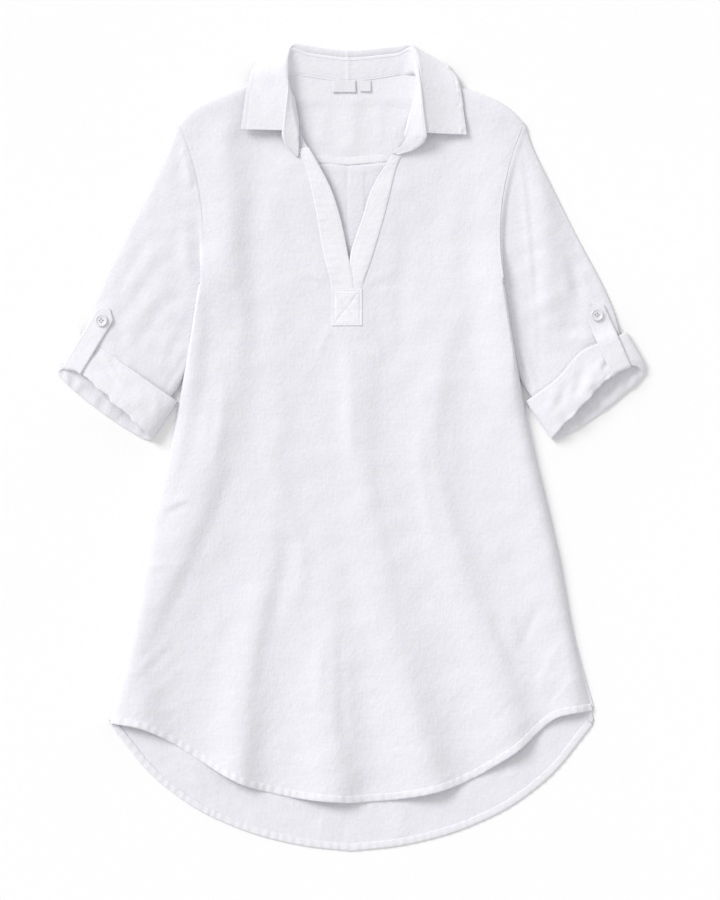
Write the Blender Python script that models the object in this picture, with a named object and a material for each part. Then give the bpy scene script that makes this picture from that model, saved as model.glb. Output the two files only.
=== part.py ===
"""A white linen popover dress with rolled three-quarter sleeves, laid flat on its back.

The part lies on z = 0 with the neck towards +Y and the left of the picture towards -X.
All sizes below are millimetres; MM turns them into Blender's metres.
"""

import math
from collections import namedtuple

import bmesh
import bpy
from mathutils import Matrix, Vector
from mathutils.bvhtree import BVHTree

MM = 0.001

# Cloth and the space between layers
CLOTH = 1.0
SEAM_GAP = 0.4

# Body: half widths of the A-line from the underarm to the hem corner
SideRow = namedtuple("SideRow", "y half_width")
SIDE_SEAM = [
    SideRow(-331, 291),
    SideRow(-225, 265),
    SideRow(-124, 246),
    SideRow(-4, 218),
    SideRow(95, 199),
    SideRow(197, 183),
]
UNDERARM_Y = 197
UNDERARM_X = 183
SHOULDER_TIP_Y = 388
SHOULDER_TIP_X = 207
ARMHOLE_DEPTH = 15
ARMHOLE_GAP = 1.0

# Shoulder line from the sleeve to the neck, as a rise over its straight chord
ShoulderRow = namedtuple("ShoulderRow", "x rise")
SHOULDER_LINE = [
    ShoulderRow(78, 0),
    ShoulderRow(100, 4),
    ShoulderRow(123, 9),
    ShoulderRow(150, 12),
    ShoulderRow(175, 13),
    ShoulderRow(193, 9),
    ShoulderRow(207, 0),
]
NECK_POINT_X = 78
NECK_POINT_Y = 446

# Shirt-tail hems, from the centre out to the side seam
HemRow = namedtuple("HemRow", "x y")
FRONT_HEM = [
    HemRow(0, -427),
    HemRow(60, -422),
    HemRow(112, -411),
    HemRow(147, -397),
    HemRow(184, -375),
    HemRow(207, -360),
    HemRow(232, -346),
    HemRow(254, -337),
    HemRow(291, -331),
]
FRONT_HEM_RIGHT_LIFT = 15
FRONT_HEM_LIFT_ACROSS = (195, 250)
BACK_HEM = [
    HemRow(0, -485),
    HemRow(55, -479),
    HemRow(108, -467),
    HemRow(147, -453),
    HemRow(188, -433),
    HemRow(227, -405),
    HemRow(250, -383),
    HemRow(270, -358),
    HemRow(291, -331),
]
HEM_WIDTH = 9
HEM_THICKNESS = 0.6
HEM_STEP = 1.5

# Front: sections from the hem to the shoulder. side_y is where a section meets the side
# seam or armhole, the rest are the placket seams and the two edges of the neck slit.
FrontRow = namedtuple("FrontRow", "steps side_y seam_left edge_left edge_right seam_right")
FRONT_ROWS = [
    FrontRow(6, -331, (-32, -426), (-5, -428), (-5, -428), (18, -427)),
    FrontRow(4, -170, (-28, -212), (-3, -212), (-3, -212), (15, -212)),
    FrontRow(4, 10, (-25, -2), (0, -2), (0, -2), (13, -2)),
    FrontRow(2, 140, (-23, 145), (2, 145), (2, 145), (13, 145)),
    FrontRow(2, 197, (-24, 190), (2, 190), (2, 190), (13, 190)),
    FrontRow(2, 236, (-33, 228), (-4.5, 228), (-1, 228), (25, 228)),
    FrontRow(2, 276, (-41, 272), (-13.5, 272), (13, 272), (38, 272)),
    FrontRow(2, 312, (-48, 308), (-25, 308), (24.5, 308), (47, 308)),
    FrontRow(2, 336, (-57, 341), (-41, 340), (43, 340), (56, 341)),
    FrontRow(2, 356, (-73, 372), (-59, 372), (63, 372), (75, 374)),
    FrontRow(2, 372, (-85, 407), (-71, 407), (75, 407), (87, 409)),
    FrontRow(0, 388, (-91, 444), (-78, 446), (78, 446), (91, 444)),
]
SLIT_ROW = 4
STAND_END_ROW = 8
COLUMNS_NEAR_EDGE = (0, 3, 8, 17, 30)
COLUMNS_ACROSS = 10
PLACKET_COLUMNS = 3
PLACKET_CLOTH = 1.0
BOX_CLOTH = 1.6

# Soft folds of the front: crest and height at each level, from the bust to the hem
FOLD_LEVELS = (330, 130, 0, -130, -260, -420)
Fold = namedtuple("Fold", "crest height width")
FOLDS = [
    Fold((-240, -240, -240, -246, -254, -261), (0, 0, 0, 0, 0.6, 6), (16, 16, 16, 16, 17, 18)),
    Fold((-150, -147, -172, -228, -283, -300), (1, 2.2, 3, 2.2, 0.6, 0), (18, 20, 22, 22, 18, 18)),
    Fold((-105, -106, -106, -98, -128, -146), (0.4, 1, 2.2, 3.6, 5.5, 8.5), (16, 18, 20, 22, 23, 24)),
    Fold((-40, -40, -40, -35, -27, -21), (0, 0, 0.5, 2, 4.5, 7.5), (16, 16, 18, 20, 22, 24)),
    Fold((2, 2, 10, 32, 63, 102), (0, 2.6, 3.2, 4, 5.5, 8.5), (12, 12, 16, 20, 22, 25)),
    Fold((90, 95, 102, 132, 172, 214), (0.5, 1.6, 2.8, 3.4, 5, 8.5), (18, 18, 20, 22, 22, 22)),
    Fold((165, 172, 200, 240, 262, 268), (0.8, 1.4, 2, 2, 2.5, 7), (18, 20, 20, 18, 16, 15)),
]
HEM_CURVE_SECTIONS = 3
SHOULDER_CURVE_SECTIONS = 4

# Air between front and back: over the whole front, rolling down to its edges, and more
# beside the slit. Each pair gives where a rise begins and where it is complete.
FRONT_PLATEAU = 2.4
PLATEAU_ALONG = (-430, -200)
EDGE_ROLL = 14
SLIT_LIFT = 2.2
SLIT_LIFT_ALONG = (230, 330)
SLIT_LIFT_ACROSS = (110, 60)

# Back: yoke seam, neck seam and the inverted pleat under the yoke
YOKE_SEAM_CENTRE_Y = 338
YOKE_SEAM_SIDE_Y = 352
YOKE_SEAM_BAND = 9
NECK_SEAM_CENTRE_Y = 438
CENTRE_BACK_X = -5
PLEAT_HALF_WIDTH = 18
PLEAT_EDGE = 5
PLEAT_THICKNESS = 1.0
PLEAT_LENGTH = 260
BACK_COLUMNS = 26
BACK_SPREAD = 1.44
BACK_ROWS = 20
YOKE_ROWS = 7
COLLAR_UNDER_YOKE = 1.7
OVER_COLLAR_ALONG = (404, 418)
OVER_COLLAR_ACROSS = (120, 104)

# Where the sleeve lies tucked under the side of the body
TUCK_LIFT = 5.0
TUCK_LOW_Y = 78
TUCK_HIGH_Y = 205
TUCK_FADE = 48
TUCK_FLAT = 8
TUCK_REACH = 27

# Sleeves, right side in the table, mirrored for the left: outer and inner edge of each ring
SleeveRow = namedtuple("SleeveRow", "steps outer inner height floor")
SLEEVE_ROWS = [
    SleeveRow(1, (SHOULDER_TIP_X, SHOULDER_TIP_Y), (UNDERARM_X, UNDERARM_Y), 6.4, 0),
    SleeveRow(2, (218, 357), (180, 176), 6.4, 0),
    SleeveRow(2, (244, 304), (182, 148), 6.6, 0),
    SleeveRow(2, (271, 250), (187, 120), 6.8, 0),
    SleeveRow(1, (298, 200), (198, 90), 7.4, 0),
    SleeveRow(1, (313.5, 165), (208, 71), 8.2, 0.6),
    SleeveRow(1, (320.5, 139), (216, 60.5), 7.4, 2.7),
    SleeveRow(0, (325, 127), (222.5, 52), 7.0, 2.7),
]
SLEEVE_RIM = 1.9
RING_POINTS = 14
SleeveFold = namedtuple("SleeveFold", "place height width")
SLEEVE_FOLDS = (SleeveFold(0.33, 1.2, 0.09), SleeveFold(0.70, 1.0, 0.08))
SLEEVE_FOLDS_END = 4
RIM_WALL = 2.6

# Rolled cuffs, in the same way, from the free upper edge to the fold at the mouth. The
# mouth's upper lip lies back from the line between its corners, most near the outer one, and
# its lower lip lies out past that line.
CuffRow = namedtuple("CuffRow", "steps outer inner height upper_lip lower_lip")
CUFF_ROWS = [
    CuffRow(2, (329, 138), (209, 55), 13.5, 0, 0),
    CuffRow(2, (340.5, 119), (219, 40), 15.5, 3, 2),
    CuffRow(2, (350.5, 101), (228, 27), 16.5, 8, 5),
    CuffRow(0, (351.5, 91), (240, 9.5), 16.5, 12, 8),
]
CUFF_WALL = 2.2
CUFF_RIM = 3.2
MOUTH_DIRECTION = (0.62, -0.785)
LIP_AT_INNER = 0.7
LIP_MORE_AT_OUTER = 1.9

# The left sleeve is a little narrower than the right towards its cuff
LEFT_NARROWER = 3.0
LEFT_SLEEVE_SECTIONS = (3, 4.5)
LEFT_CUFF_SECTIONS = (2, 0)

# Sleeve tabs and the buttons that hold them
Tab = namedtuple("Tab", "hand tip foot width")
TABS = [
    Tab("left", (-290.3, 166.2), (-335.5, 91), 24),
    Tab("right", (287, 174), (324.5, 87), 26),
]
TAB_POINT = 10
TAB_CLOTH = 1.2
TAB_CLEARANCE = 0.5
TAB_ROWS = 18
TAB_COLUMNS = 4
TAB_TIP_SHARE = 0.12
TAB_HOOK = ((1.2, 0.6), (1.8, 1.8), (2.1, 3.4))
TAB_FEEL_ALONG = (-5, -2.5, 0, 2.5, 5)
TAB_FEEL_ACROSS = (-0.5, 0, 0.5)
BUTTON_FROM_TIP = 17.5
BUTTON_RADIUS = 7.3
BUTTON_THICKNESS = 2.6
BUTTON_RIM = 1.3
BUTTON_HOLE_RADIUS = 0.9
BUTTON_HOLE_OFFSET = 1.9

# Collar: neck seam, top of the roll, outer edge of the leaf and the roll's radius,
# from the left point round the back to the right point
CollarRow = namedtuple("CollarRow", "steps seam roll edge radius")
COLLAR_ROWS = [
    CollarRow(3, (-64, 377, 9.2), (-83, 379, 15.0), (-132.6, 380, 8.4), 4),
    CollarRow(3, (-70, 400, 9.2), (-80, 402, 16.0), (-129, 404, 7.8), 4),
    CollarRow(3, (-74, 424, 9.7), (-77, 428, 16.0), (-125, 431, 6.8), 4),
    CollarRow(3, (-76, 441, 8.6), (-76, 452, 14.0), (-121.5, 446, 5.8), 3.4),
    CollarRow(3, (-74, 447.5, 5.8), (-75, 472, 9.5), (-119, 453, 3.4), 2.4),
    CollarRow(4, (-66, 446.5, 4.0), (-70, 482, 5.4), (-112, 460, 1.4), 1.6),
    CollarRow(3, (-52, 444.5, 2.6), (-56, 480, 3.4), (-88, 443.5, 0.6), 1.3),
    CollarRow(3, (-34, 441.5, 2.1), (-37, 476, 3.3), (-50, 426, 0.6), 1.3),
    CollarRow(3, (-4, 439, 2.1), (-4, 473, 3.3), (-4, 422, 0.6), 1.3),
    CollarRow(3, (26, 441.5, 2.1), (30, 476, 3.3), (44, 426, 0.6), 1.3),
    CollarRow(4, (52, 445.5, 2.6), (56, 480, 3.4), (88, 443.5, 0.6), 1.3),
    CollarRow(3, (66, 447.5, 4.0), (70, 482, 5.4), (111, 458, 1.4), 1.6),
    CollarRow(3, (76, 448, 5.8), (77, 472, 9.5), (121.5, 449.5, 3.4), 2.4),
    CollarRow(3, (78, 441, 8.6), (80.5, 452, 14.0), (127.5, 440, 5.8), 3.4),
    CollarRow(3, (77, 422, 9.8), (84, 430, 15.5), (131.5, 425, 6.8), 4),
    CollarRow(3, (72, 399, 9.2), (87, 404, 15.0), (134.5, 401, 7.8), 4),
    CollarRow(0, (65, 377, 9.2), (91, 375, 14.0), (138, 374, 8.2), 4),
]
LEAF_SEAM_BELOW_ROLL = 5.5
LEAF_SEAM_GAP = 0.8
ROLL_POINTS = 4
LEAF_COLUMNS = 5
STAND_COLUMNS = 4

# Rounded ends of the stand beyond the leaf
StandRow = namedtuple("StandRow", "steps seam top")
STAND_END_LEFT = [
    StandRow(2, (-63, 351.5, 9.2), (-66.5, 351, 9.4)),
    StandRow(2, (-63, 358.5, 9.2), (-76, 358, 11.2)),
    StandRow(1, (-63, 368, 9.2), (-82.5, 367.5, 13.4)),
    StandRow(1, (-63.5, 374, 9.2), (-80, 374.5, 13.4)),
]
STAND_END_RIGHT = [
    StandRow(1, (63.5, 373, 9.2), (87, 370.5, 12.6)),
    StandRow(2, (60.5, 367, 9.2), (88, 364.5, 12.2)),
    StandRow(2, (55, 359, 9.2), (76, 357, 10.6)),
    StandRow(0, (49, 352, 9.2), (54, 350, 9.4)),
]

# Woven labels sewn at the back neck, left blank
Label = namedtuple("Label", "name left right top bottom")
LABELS = [
    Label("label_large", -23, 5.5, 437, 425),
    Label("label_small", 10, 23.5, 437, 426),
]
LABEL_CLOTH = 0.8
LABEL_ROWS = 3

COLOURS = {
    "linen": (0.86, 0.86, 0.89),
    "linen_double": (0.87, 0.87, 0.90),
    "button": (0.86, 0.86, 0.88),
    "label": (0.85, 0.85, 0.87),
}


def clear_scene():
    for existing in list(bpy.data.objects):
        bpy.data.objects.remove(existing, do_unlink=True)


def rise(ends, value):
    """A smooth step from 0 at the first end to 1 at the second, which may be the lower."""
    share = min(max((value - ends[0]) / (ends[1] - ends[0]), 0), 1)
    return share * share * (3 - 2 * share)


def mix(a, b, share):
    return a + (b - a) * share


def mix_point(a, b, share):
    return tuple(mix(x, y, share) for x, y in zip(a, b))


def curve_value(knots, values, x):
    """A smooth curve through (knots, values), read at x. Knots may rise or fall."""
    if knots[0] > knots[-1]:
        knots, values = knots[::-1], values[::-1]
    last = len(knots) - 1
    x = min(max(x, knots[0]), knots[-1])
    i = max(k for k in range(last) if knots[k] <= x) if x > knots[0] else 0

    def slope(k):
        low, high = max(k - 1, 0), min(k + 1, last)
        return (values[high] - values[low]) / (knots[high] - knots[low])

    width = knots[i + 1] - knots[i]
    t = (x - knots[i]) / width
    start = (1 + 2 * t) * (1 - t) ** 2 * values[i] + t * (1 - t) ** 2 * slope(i) * width
    end = t * t * (3 - 2 * t) * values[i + 1] + t * t * (t - 1) * slope(i + 1) * width
    return start + end


def sections(rows, fields):
    """Rows of a table with its steps filled in by smooth curves through each field."""
    knots = list(range(len(rows)))
    filled = []
    for k, row in enumerate(rows):
        for step in range(max(row.steps, 1)):
            at = k + step / max(row.steps, 1)
            section = {"at": at}
            for field in fields:
                values = [getattr(r, field) for r in rows]
                if isinstance(values[0], tuple):
                    section[field] = tuple(
                        curve_value(knots, [v[axis] for v in values], at)
                        for axis in range(len(values[0]))
                    )
                else:
                    section[field] = curve_value(knots, values, at)
            filled.append(section)
    return filled


# Outline of the body


def half_width(y):
    """Half the width of the body at the side seam, or at the armhole above the underarm."""
    if y < UNDERARM_Y:
        return curve_value([r.y for r in SIDE_SEAM], [r.half_width for r in SIDE_SEAM], y)
    down = (SHOULDER_TIP_Y - y) / (SHOULDER_TIP_Y - UNDERARM_Y)
    return mix(SHOULDER_TIP_X, UNDERARM_X, down) - ARMHOLE_DEPTH * 4 * down * (1 - down)


def hem_y(table, x):
    return curve_value([r.x for r in table], [r.y for r in table], abs(x))


def front_hem_y(x):
    return hem_y(FRONT_HEM, x) + FRONT_HEM_RIGHT_LIFT * rise(FRONT_HEM_LIFT_ACROSS, x)


def shoulder_y(x):
    """Height of the shoulder line at x, between the neck point and the shoulder tip."""
    out = min(max(abs(x), NECK_POINT_X), SHOULDER_TIP_X)
    share = (out - NECK_POINT_X) / (SHOULDER_TIP_X - NECK_POINT_X)
    chord = mix(NECK_POINT_Y, SHOULDER_TIP_Y, share)
    return chord + curve_value([r.x for r in SHOULDER_LINE], [r.rise for r in SHOULDER_LINE], out)


def yoke_seam_y(x):
    out = min(abs(x - CENTRE_BACK_X) / UNDERARM_X, 1)
    return mix(YOKE_SEAM_CENTRE_Y, YOKE_SEAM_SIDE_Y, out)


def neck_seam_y(x):
    return mix(NECK_SEAM_CENTRE_Y, NECK_POINT_Y, min(abs(x) / NECK_POINT_X, 1) ** 2)


def distance_to_fold_edge(x, y):
    """Distance in from the side seam or the shoulder line, where front and back meet."""
    side = half_width(y) - abs(x) if y < UNDERARM_Y else math.inf
    shoulder = shoulder_y(x) - y if abs(x) > NECK_POINT_X else math.inf
    tip = math.hypot(abs(x) - SHOULDER_TIP_X, y - SHOULDER_TIP_Y)
    underarm = math.hypot(abs(x) - UNDERARM_X, y - UNDERARM_Y)
    neck = math.hypot(abs(x) - NECK_POINT_X, y - NECK_POINT_Y)
    return max(min(side, shoulder, tip, underarm, neck), 0)


# Heights of the layers


def tuck(x, y):
    """How far the body's side is lifted by the sleeve tucked under it."""
    along = rise((TUCK_LOW_Y - TUCK_FADE, TUCK_LOW_Y), y)
    along *= rise((TUCK_HIGH_Y + TUCK_FADE, TUCK_HIGH_Y), y)
    inward = half_width(min(y, UNDERARM_Y)) - abs(x)
    return TUCK_LIFT * along * rise((TUCK_FLAT + TUCK_REACH, TUCK_FLAT), inward)


def back_low(x, y):
    over_collar = rise(OVER_COLLAR_ALONG, y) * rise(OVER_COLLAR_ACROSS, abs(x))
    return max(tuck(x, y), COLLAR_UNDER_YOKE * over_collar)


def back_pleat(x, y):
    """The pleat's two folds, which meet at the centre back and open towards the hem."""
    off = abs(x - CENTRE_BACK_X)
    across = rise((PLEAT_HALF_WIDTH + PLEAT_EDGE, PLEAT_HALF_WIDTH), off)
    return PLEAT_THICKNESS * across * rise((-PLEAT_LENGTH, 0), y - YOKE_SEAM_CENTRE_Y)


def back_high(x, y):
    return back_low(x, y) + CLOTH + back_pleat(x, min(y, YOKE_SEAM_CENTRE_Y))


def yoke_high(x, y):
    band = rise((YOKE_SEAM_BAND + HEM_STEP, YOKE_SEAM_BAND), y - yoke_seam_y(x))
    return back_low(x, y) + CLOTH + HEM_THICKNESS * band


def fold_height(x, y):
    total = 0
    for fold in FOLDS:
        crest = curve_value(FOLD_LEVELS, fold.crest, y)
        height = curve_value(FOLD_LEVELS, fold.height, y)
        width = curve_value(FOLD_LEVELS, fold.width, y)
        total += max(height, 0) * math.exp(-0.5 * ((x - crest) / width) ** 2)
    return total


def front_low(x, y):
    inward = min(distance_to_fold_edge(x, y) / EDGE_ROLL, 1)
    roll = math.sqrt(1 - (1 - inward) ** 2)
    plateau = FRONT_PLATEAU * rise(PLATEAU_ALONG, y)
    slit = SLIT_LIFT * rise(SLIT_LIFT_ALONG, y) * rise(SLIT_LIFT_ACROSS, abs(x))
    under = max(back_low(x, y) + CLOTH + HEM_THICKNESS, back_high(x, y))
    return under + SEAM_GAP + roll * (plateau + slit + fold_height(x, y))


def front_high(x, y):
    hem = rise((HEM_WIDTH + HEM_STEP, HEM_WIDTH), y - front_hem_y(x))
    return front_low(x, y) + CLOTH + HEM_THICKNESS * hem


# Making meshes


def new_object(name, bm, colour):
    bmesh.ops.recalc_face_normals(bm, faces=bm.faces)
    mesh = bpy.data.meshes.new(name)
    bm.to_mesh(mesh)
    bm.free()
    mesh.shade_smooth()
    mesh.set_sharp_from_angle(angle=math.radians(40))
    mesh.materials.append(material(colour))
    made = bpy.data.objects.new(name, mesh)
    bpy.context.collection.objects.link(made)
    return made


def material(name):
    found = bpy.data.materials.get(name)
    if found:
        return found
    made = bpy.data.materials.new(name)
    made.use_nodes = True
    shader = made.node_tree.nodes["Principled BSDF"]
    shader.inputs["Base Color"].default_value = (*COLOURS[name], 1)
    shader.inputs["Roughness"].default_value = 0.35 if name == "button" else 0.9
    shader.inputs["Metallic"].default_value = 0
    return made


def add_grid(bm, rows):
    """Faces between rows of points, which all have the same number of points."""
    verts = [[bm.verts.new(Vector(p) * MM) for p in row] for row in rows]
    for low, high in zip(verts, verts[1:]):
        for i in range(len(low) - 1):
            bm.faces.new((low[i], low[i + 1], high[i + 1], high[i]))


def cloth_between(name, patches, low, high, colour="linen"):
    """A wall of cloth over plan patches, from the height low(x, y) up to high(x, y)."""
    bm = bmesh.new()
    for rows in patches:
        add_grid(bm, [[(x, y, low(x, y)) for x, y in row] for row in rows])
    bmesh.ops.remove_doubles(bm, verts=bm.verts, dist=0.01 * MM)
    top = bmesh.ops.extrude_face_region(bm, geom=bm.faces[:])
    for vert in (g for g in top["geom"] if isinstance(g, bmesh.types.BMVert)):
        vert.co.z = high(vert.co.x / MM, vert.co.y / MM) * MM
    return new_object(name, bm, colour)


def cloth_strip(name, rows, thickness, colour="linen"):
    """A sheet through rows of 3-D points, thickened to both sides of it."""
    bm = bmesh.new()
    add_grid(bm, rows)
    made = new_object(name, bm, colour)
    solidify = made.modifiers.new("wall", "SOLIDIFY")
    solidify.thickness = thickness * MM
    solidify.offset = 0
    solidify.use_even_offset = True
    return made


def cloth_tube(name, outer_rings, inner_rings, colour="linen"):
    """A tube wall: outer and inner rings, joined at both open ends."""
    bm = bmesh.new()
    outer, inner = (
        [[bm.verts.new(Vector(p) * MM) for p in ring] for ring in rings]
        for rings in (outer_rings, inner_rings)
    )
    count = len(outer[0])
    for shell in (outer, inner):
        for a, b in zip(shell, shell[1:]):
            for i in range(count):
                j = (i + 1) % count
                bm.faces.new((a[i], a[j], b[j], b[i]))
    for end in (0, -1):
        for i in range(count):
            j = (i + 1) % count
            bm.faces.new((outer[end][i], outer[end][j], inner[end][j], inner[end][i]))
    return new_object(name, bm, colour)


# Front panel, plackets and box


def spaced_out(start, end):
    """Points from the side in to the placket seam, closer together near the side."""
    length = math.dist(start, end)
    near = [d / length for d in COLUMNS_NEAR_EDGE]
    rest = [mix(near[-1], 1, k / COLUMNS_ACROSS) for k in range(1, COLUMNS_ACROSS + 1)]
    return [mix_point(start, end, share) for share in near + rest]


def front_half_row(section, sign):
    """One plan row of half the front: side, placket seam, then slit or centre edge."""
    hand = "left" if sign < 0 else "right"
    side = (sign * half_width(section["side_y"]), section["side_y"])
    seam, edge = section["seam_" + hand], section["edge_" + hand]
    if section["at"] <= SLIT_ROW:
        edge = mix_point(section["edge_left"], section["edge_right"], 0.5)
    row = spaced_out(side, seam)
    row += [mix_point(seam, edge, k / PLACKET_COLUMNS) for k in range(1, PLACKET_COLUMNS + 1)]
    first, last = FRONT_ROWS[0], FRONT_ROWS[-1]
    hem_share = max(1 - section["at"] / HEM_CURVE_SECTIONS, 0) ** 2
    from_top = len(FRONT_ROWS) - 1 - section["at"]
    shoulder_share = max(1 - from_top / SHOULDER_CURVE_SECTIONS, 0)
    bent = []
    hem_row = spaced_out((sign * SIDE_SEAM[0].half_width, first.side_y), getattr(first, "seam_" + hand))
    top_row = spaced_out((sign * SHOULDER_TIP_X, last.side_y), getattr(last, "seam_" + hand))
    for i, (x, y) in enumerate(row):
        if i < len(hem_row):
            y += hem_share * (front_hem_y(hem_row[i][0]) - hem_row[i][1])
            y += shoulder_share**2 * (shoulder_y(top_row[i][0]) - top_row[i][1])
        bent.append((x, y))
    return bent


def row_index(table_row):
    return sum(max(row.steps, 1) for row in FRONT_ROWS[:table_row])


def with_hem_rows(half):
    """Rows at the stitching line of the hem after the first row, for the turned hem's step."""
    rows = []
    for inset in (HEM_WIDTH, HEM_WIDTH + HEM_STEP):
        row = [(x, y + inset) for x, y in half[0]]
        row[0] = (math.copysign(half_width(row[0][1]), row[0][0]), row[0][1])
        rows.append(row)
    return [half[0], *rows, *half[1:]]


def build_front():
    fields = ("side_y", "seam_left", "edge_left", "edge_right", "seam_right")
    filled = sections(FRONT_ROWS, fields)
    halves = {sign: [front_half_row(s, sign) for s in filled] for sign in (-1, 1)}
    patches = [with_hem_rows(halves[-1]), with_hem_rows(halves[1])]
    cloth_between("front", patches, front_low, front_high)

    def strip(half, first, last):
        return [row[-PLACKET_COLUMNS - 1 :] for row in half[first : last + 1]]

    def on_front(x, y):
        return front_high(x, y) + SEAM_GAP

    slit, neck, box_foot = row_index(SLIT_ROW), row_index(STAND_END_ROW), row_index(SLIT_ROW - 1)
    for sign, name in ((-1, "placket_left"), (1, "placket_right")):
        rows = strip(halves[sign], slit, neck)
        rows[0] = [mix_point(a, b, 0.06) for a, b in zip(rows[0], rows[1])]
        cloth_between(name, [rows], on_front, lambda x, y: on_front(x, y) + PLACKET_CLOTH, "linen_double")
    box = [strip(halves[sign], box_foot, slit) for sign in (-1, 1)]
    cloth_between("placket_box", box, on_front, lambda x, y: on_front(x, y) + BOX_CLOTH, "linen_double")


# Back panel and yoke


def back_row(share):
    """A plan row of the back, from the hem at share 0 to the yoke seam at share 1."""
    side_y = mix(SIDE_SEAM[0].y, YOKE_SEAM_SIDE_Y - SEAM_GAP, share)
    row = []
    for k in range(BACK_COLUMNS + 1):
        across = math.sin(BACK_SPREAD * (2 * k / BACK_COLUMNS - 1)) / math.sin(BACK_SPREAD)
        x = across * half_width(side_y)
        hem = hem_y(BACK_HEM, across * SIDE_SEAM[0].half_width)
        row.append((x, mix(hem, yoke_seam_y(x) - SEAM_GAP, share)))
    return row


def back_body_high(x, y):
    hem = hem_y(BACK_HEM, x / half_width(y) * SIDE_SEAM[0].half_width)
    band = rise((HEM_WIDTH + HEM_STEP, HEM_WIDTH), y - hem)
    return back_high(x, y) + HEM_THICKNESS * band


def build_back():
    length = YOKE_SEAM_CENTRE_Y - BACK_HEM[0].y
    hem_shares = [0, HEM_WIDTH / length, (HEM_WIDTH + HEM_STEP) / length]
    shares = hem_shares + [k / BACK_ROWS for k in range(1, BACK_ROWS + 1)]
    cloth_between("back_body", [[back_row(share) for share in shares]], back_low, back_body_high)


def build_yoke():
    rows = []
    for step in range(YOKE_ROWS + 1):
        share = step / YOKE_ROWS
        side_y = mix(YOKE_SEAM_SIDE_Y, SHOULDER_TIP_Y, share)
        width = half_width(side_y)
        row = []
        for k in range(BACK_COLUMNS + 1):
            across = 2 * k / BACK_COLUMNS - 1
            x, top_x = across * width, across * SHOULDER_TIP_X
            top = shoulder_y(top_x) if abs(top_x) > NECK_POINT_X else neck_seam_y(top_x)
            row.append((x, mix(yoke_seam_y(x), top, share)))
        rows.append(row)
    cloth_between("back_yoke", [rows], back_low, yoke_high)


# Sleeves and cuffs


def ring(outer, inner, rim, height, wall, bow=0, folds=(), floor=0, lips=(0, 0), sign=1, inset=0):
    """A flattened ring of cloth from its outer edge to its inner edge and back underneath.

    bow bends it like the armhole, lips moves its upper side back and its under side out, and
    inset gives the inner face of the wall.
    """
    length = math.dist(outer, inner)
    margin = inset / length
    points = []
    for k in range(2 * RING_POINTS):
        angle = math.pi * k / RING_POINTS
        share = (1 - math.cos(angle)) / 2
        place = mix(margin, 1 - margin, share)
        x, y = mix_point(outer, inner, place)
        x -= bow * 4 * place * (1 - place)
        upper = angle < math.pi
        out = -lips[1] * math.sin(angle)
        if upper:
            out = -lips[0] * math.sin(angle) * (LIP_AT_INNER + LIP_MORE_AT_OUTER * (1 - share) ** 3)
        x += out * MOUTH_DIRECTION[0]
        y += out * MOUTH_DIRECTION[1]
        dome = math.sqrt(max(4 * place * (1 - place), 0))
        z = floor + rim
        if upper and k:
            fold = sum(h * math.exp(-0.5 * ((place - at) / w) ** 2) for at, h, w in folds)
            z = floor + rim + (height - rim) * dome + fold * dome - (wall if inset else 0)
            z = max(z, floor + rim + 0.15 if inset else z)
        elif not upper and k != RING_POINTS:
            z = floor + (wall if inset else 0)
            z = min(z, floor + rim - 0.15)
        points.append((sign * x, y, z))
    return points


def build_sleeve(name, sign):
    outer_rings, inner_rings = [], []
    for section in sections(SLEEVE_ROWS, ("outer", "inner", "height", "floor")):
        at = section["at"]
        armhole = max(1 - at, 0)
        folding = rise((0, 1.5), at) * rise((SLEEVE_FOLDS_END + 1, SLEEVE_FOLDS_END), at)
        outer, inner = section["outer"], section["inner"]
        shape = dict(
            rim=SLEEVE_RIM,
            height=section["height"],
            wall=CLOTH,
            bow=ARMHOLE_DEPTH * armhole,
            folds=[fold._replace(height=fold.height * folding) for fold in SLEEVE_FOLDS],
            floor=section["floor"],
            sign=sign,
        )
        narrower = LEFT_NARROWER * rise(LEFT_SLEEVE_SECTIONS, at) if sign < 0 else 0
        outer = (outer[0] + ARMHOLE_GAP * armhole - narrower, outer[1])
        inner = (inner[0] + ARMHOLE_GAP * armhole, inner[1])
        outer_rings.append(ring(outer, inner, **shape))
        inner_rings.append(ring(outer, inner, inset=RIM_WALL, **shape))
    return cloth_tube(name, outer_rings, inner_rings)


def build_cuff(name, sign):
    outer_rings, inner_rings = [], []
    for section in sections(CUFF_ROWS, ("outer", "inner", "height", "upper_lip", "lower_lip")):
        outer, inner = section["outer"], section["inner"]
        narrower = LEFT_NARROWER * rise(LEFT_CUFF_SECTIONS, section["at"]) if sign < 0 else 0
        outer = (outer[0] - narrower, outer[1])
        shape = dict(
            rim=CUFF_RIM,
            height=section["height"],
            wall=CUFF_WALL,
            lips=(section["upper_lip"], section["lower_lip"]),
            sign=sign,
        )
        outer_rings.append(ring(outer, inner, **shape))
        inner_rings.append(ring(outer, inner, inset=CUFF_WALL * 1.6, **shape))
    return cloth_tube(name, outer_rings, inner_rings, "linen_double")


# Tabs and buttons


def surface_of(objects):
    """A search tree over the finished surface of some objects."""
    bm = bmesh.new()
    for made in objects:
        bm.from_mesh(made.data)
    tree = BVHTree.FromBMesh(bm)
    bm.free()
    return tree


def top_of(tree, x, y):
    """The height in millimetres of the highest surface at x, y, or 0 beside it."""
    hit = tree.ray_cast(Vector((x, y, 100)) * MM, Vector((0, 0, -1)))[0]
    return hit.z / MM if hit else 0


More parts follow.
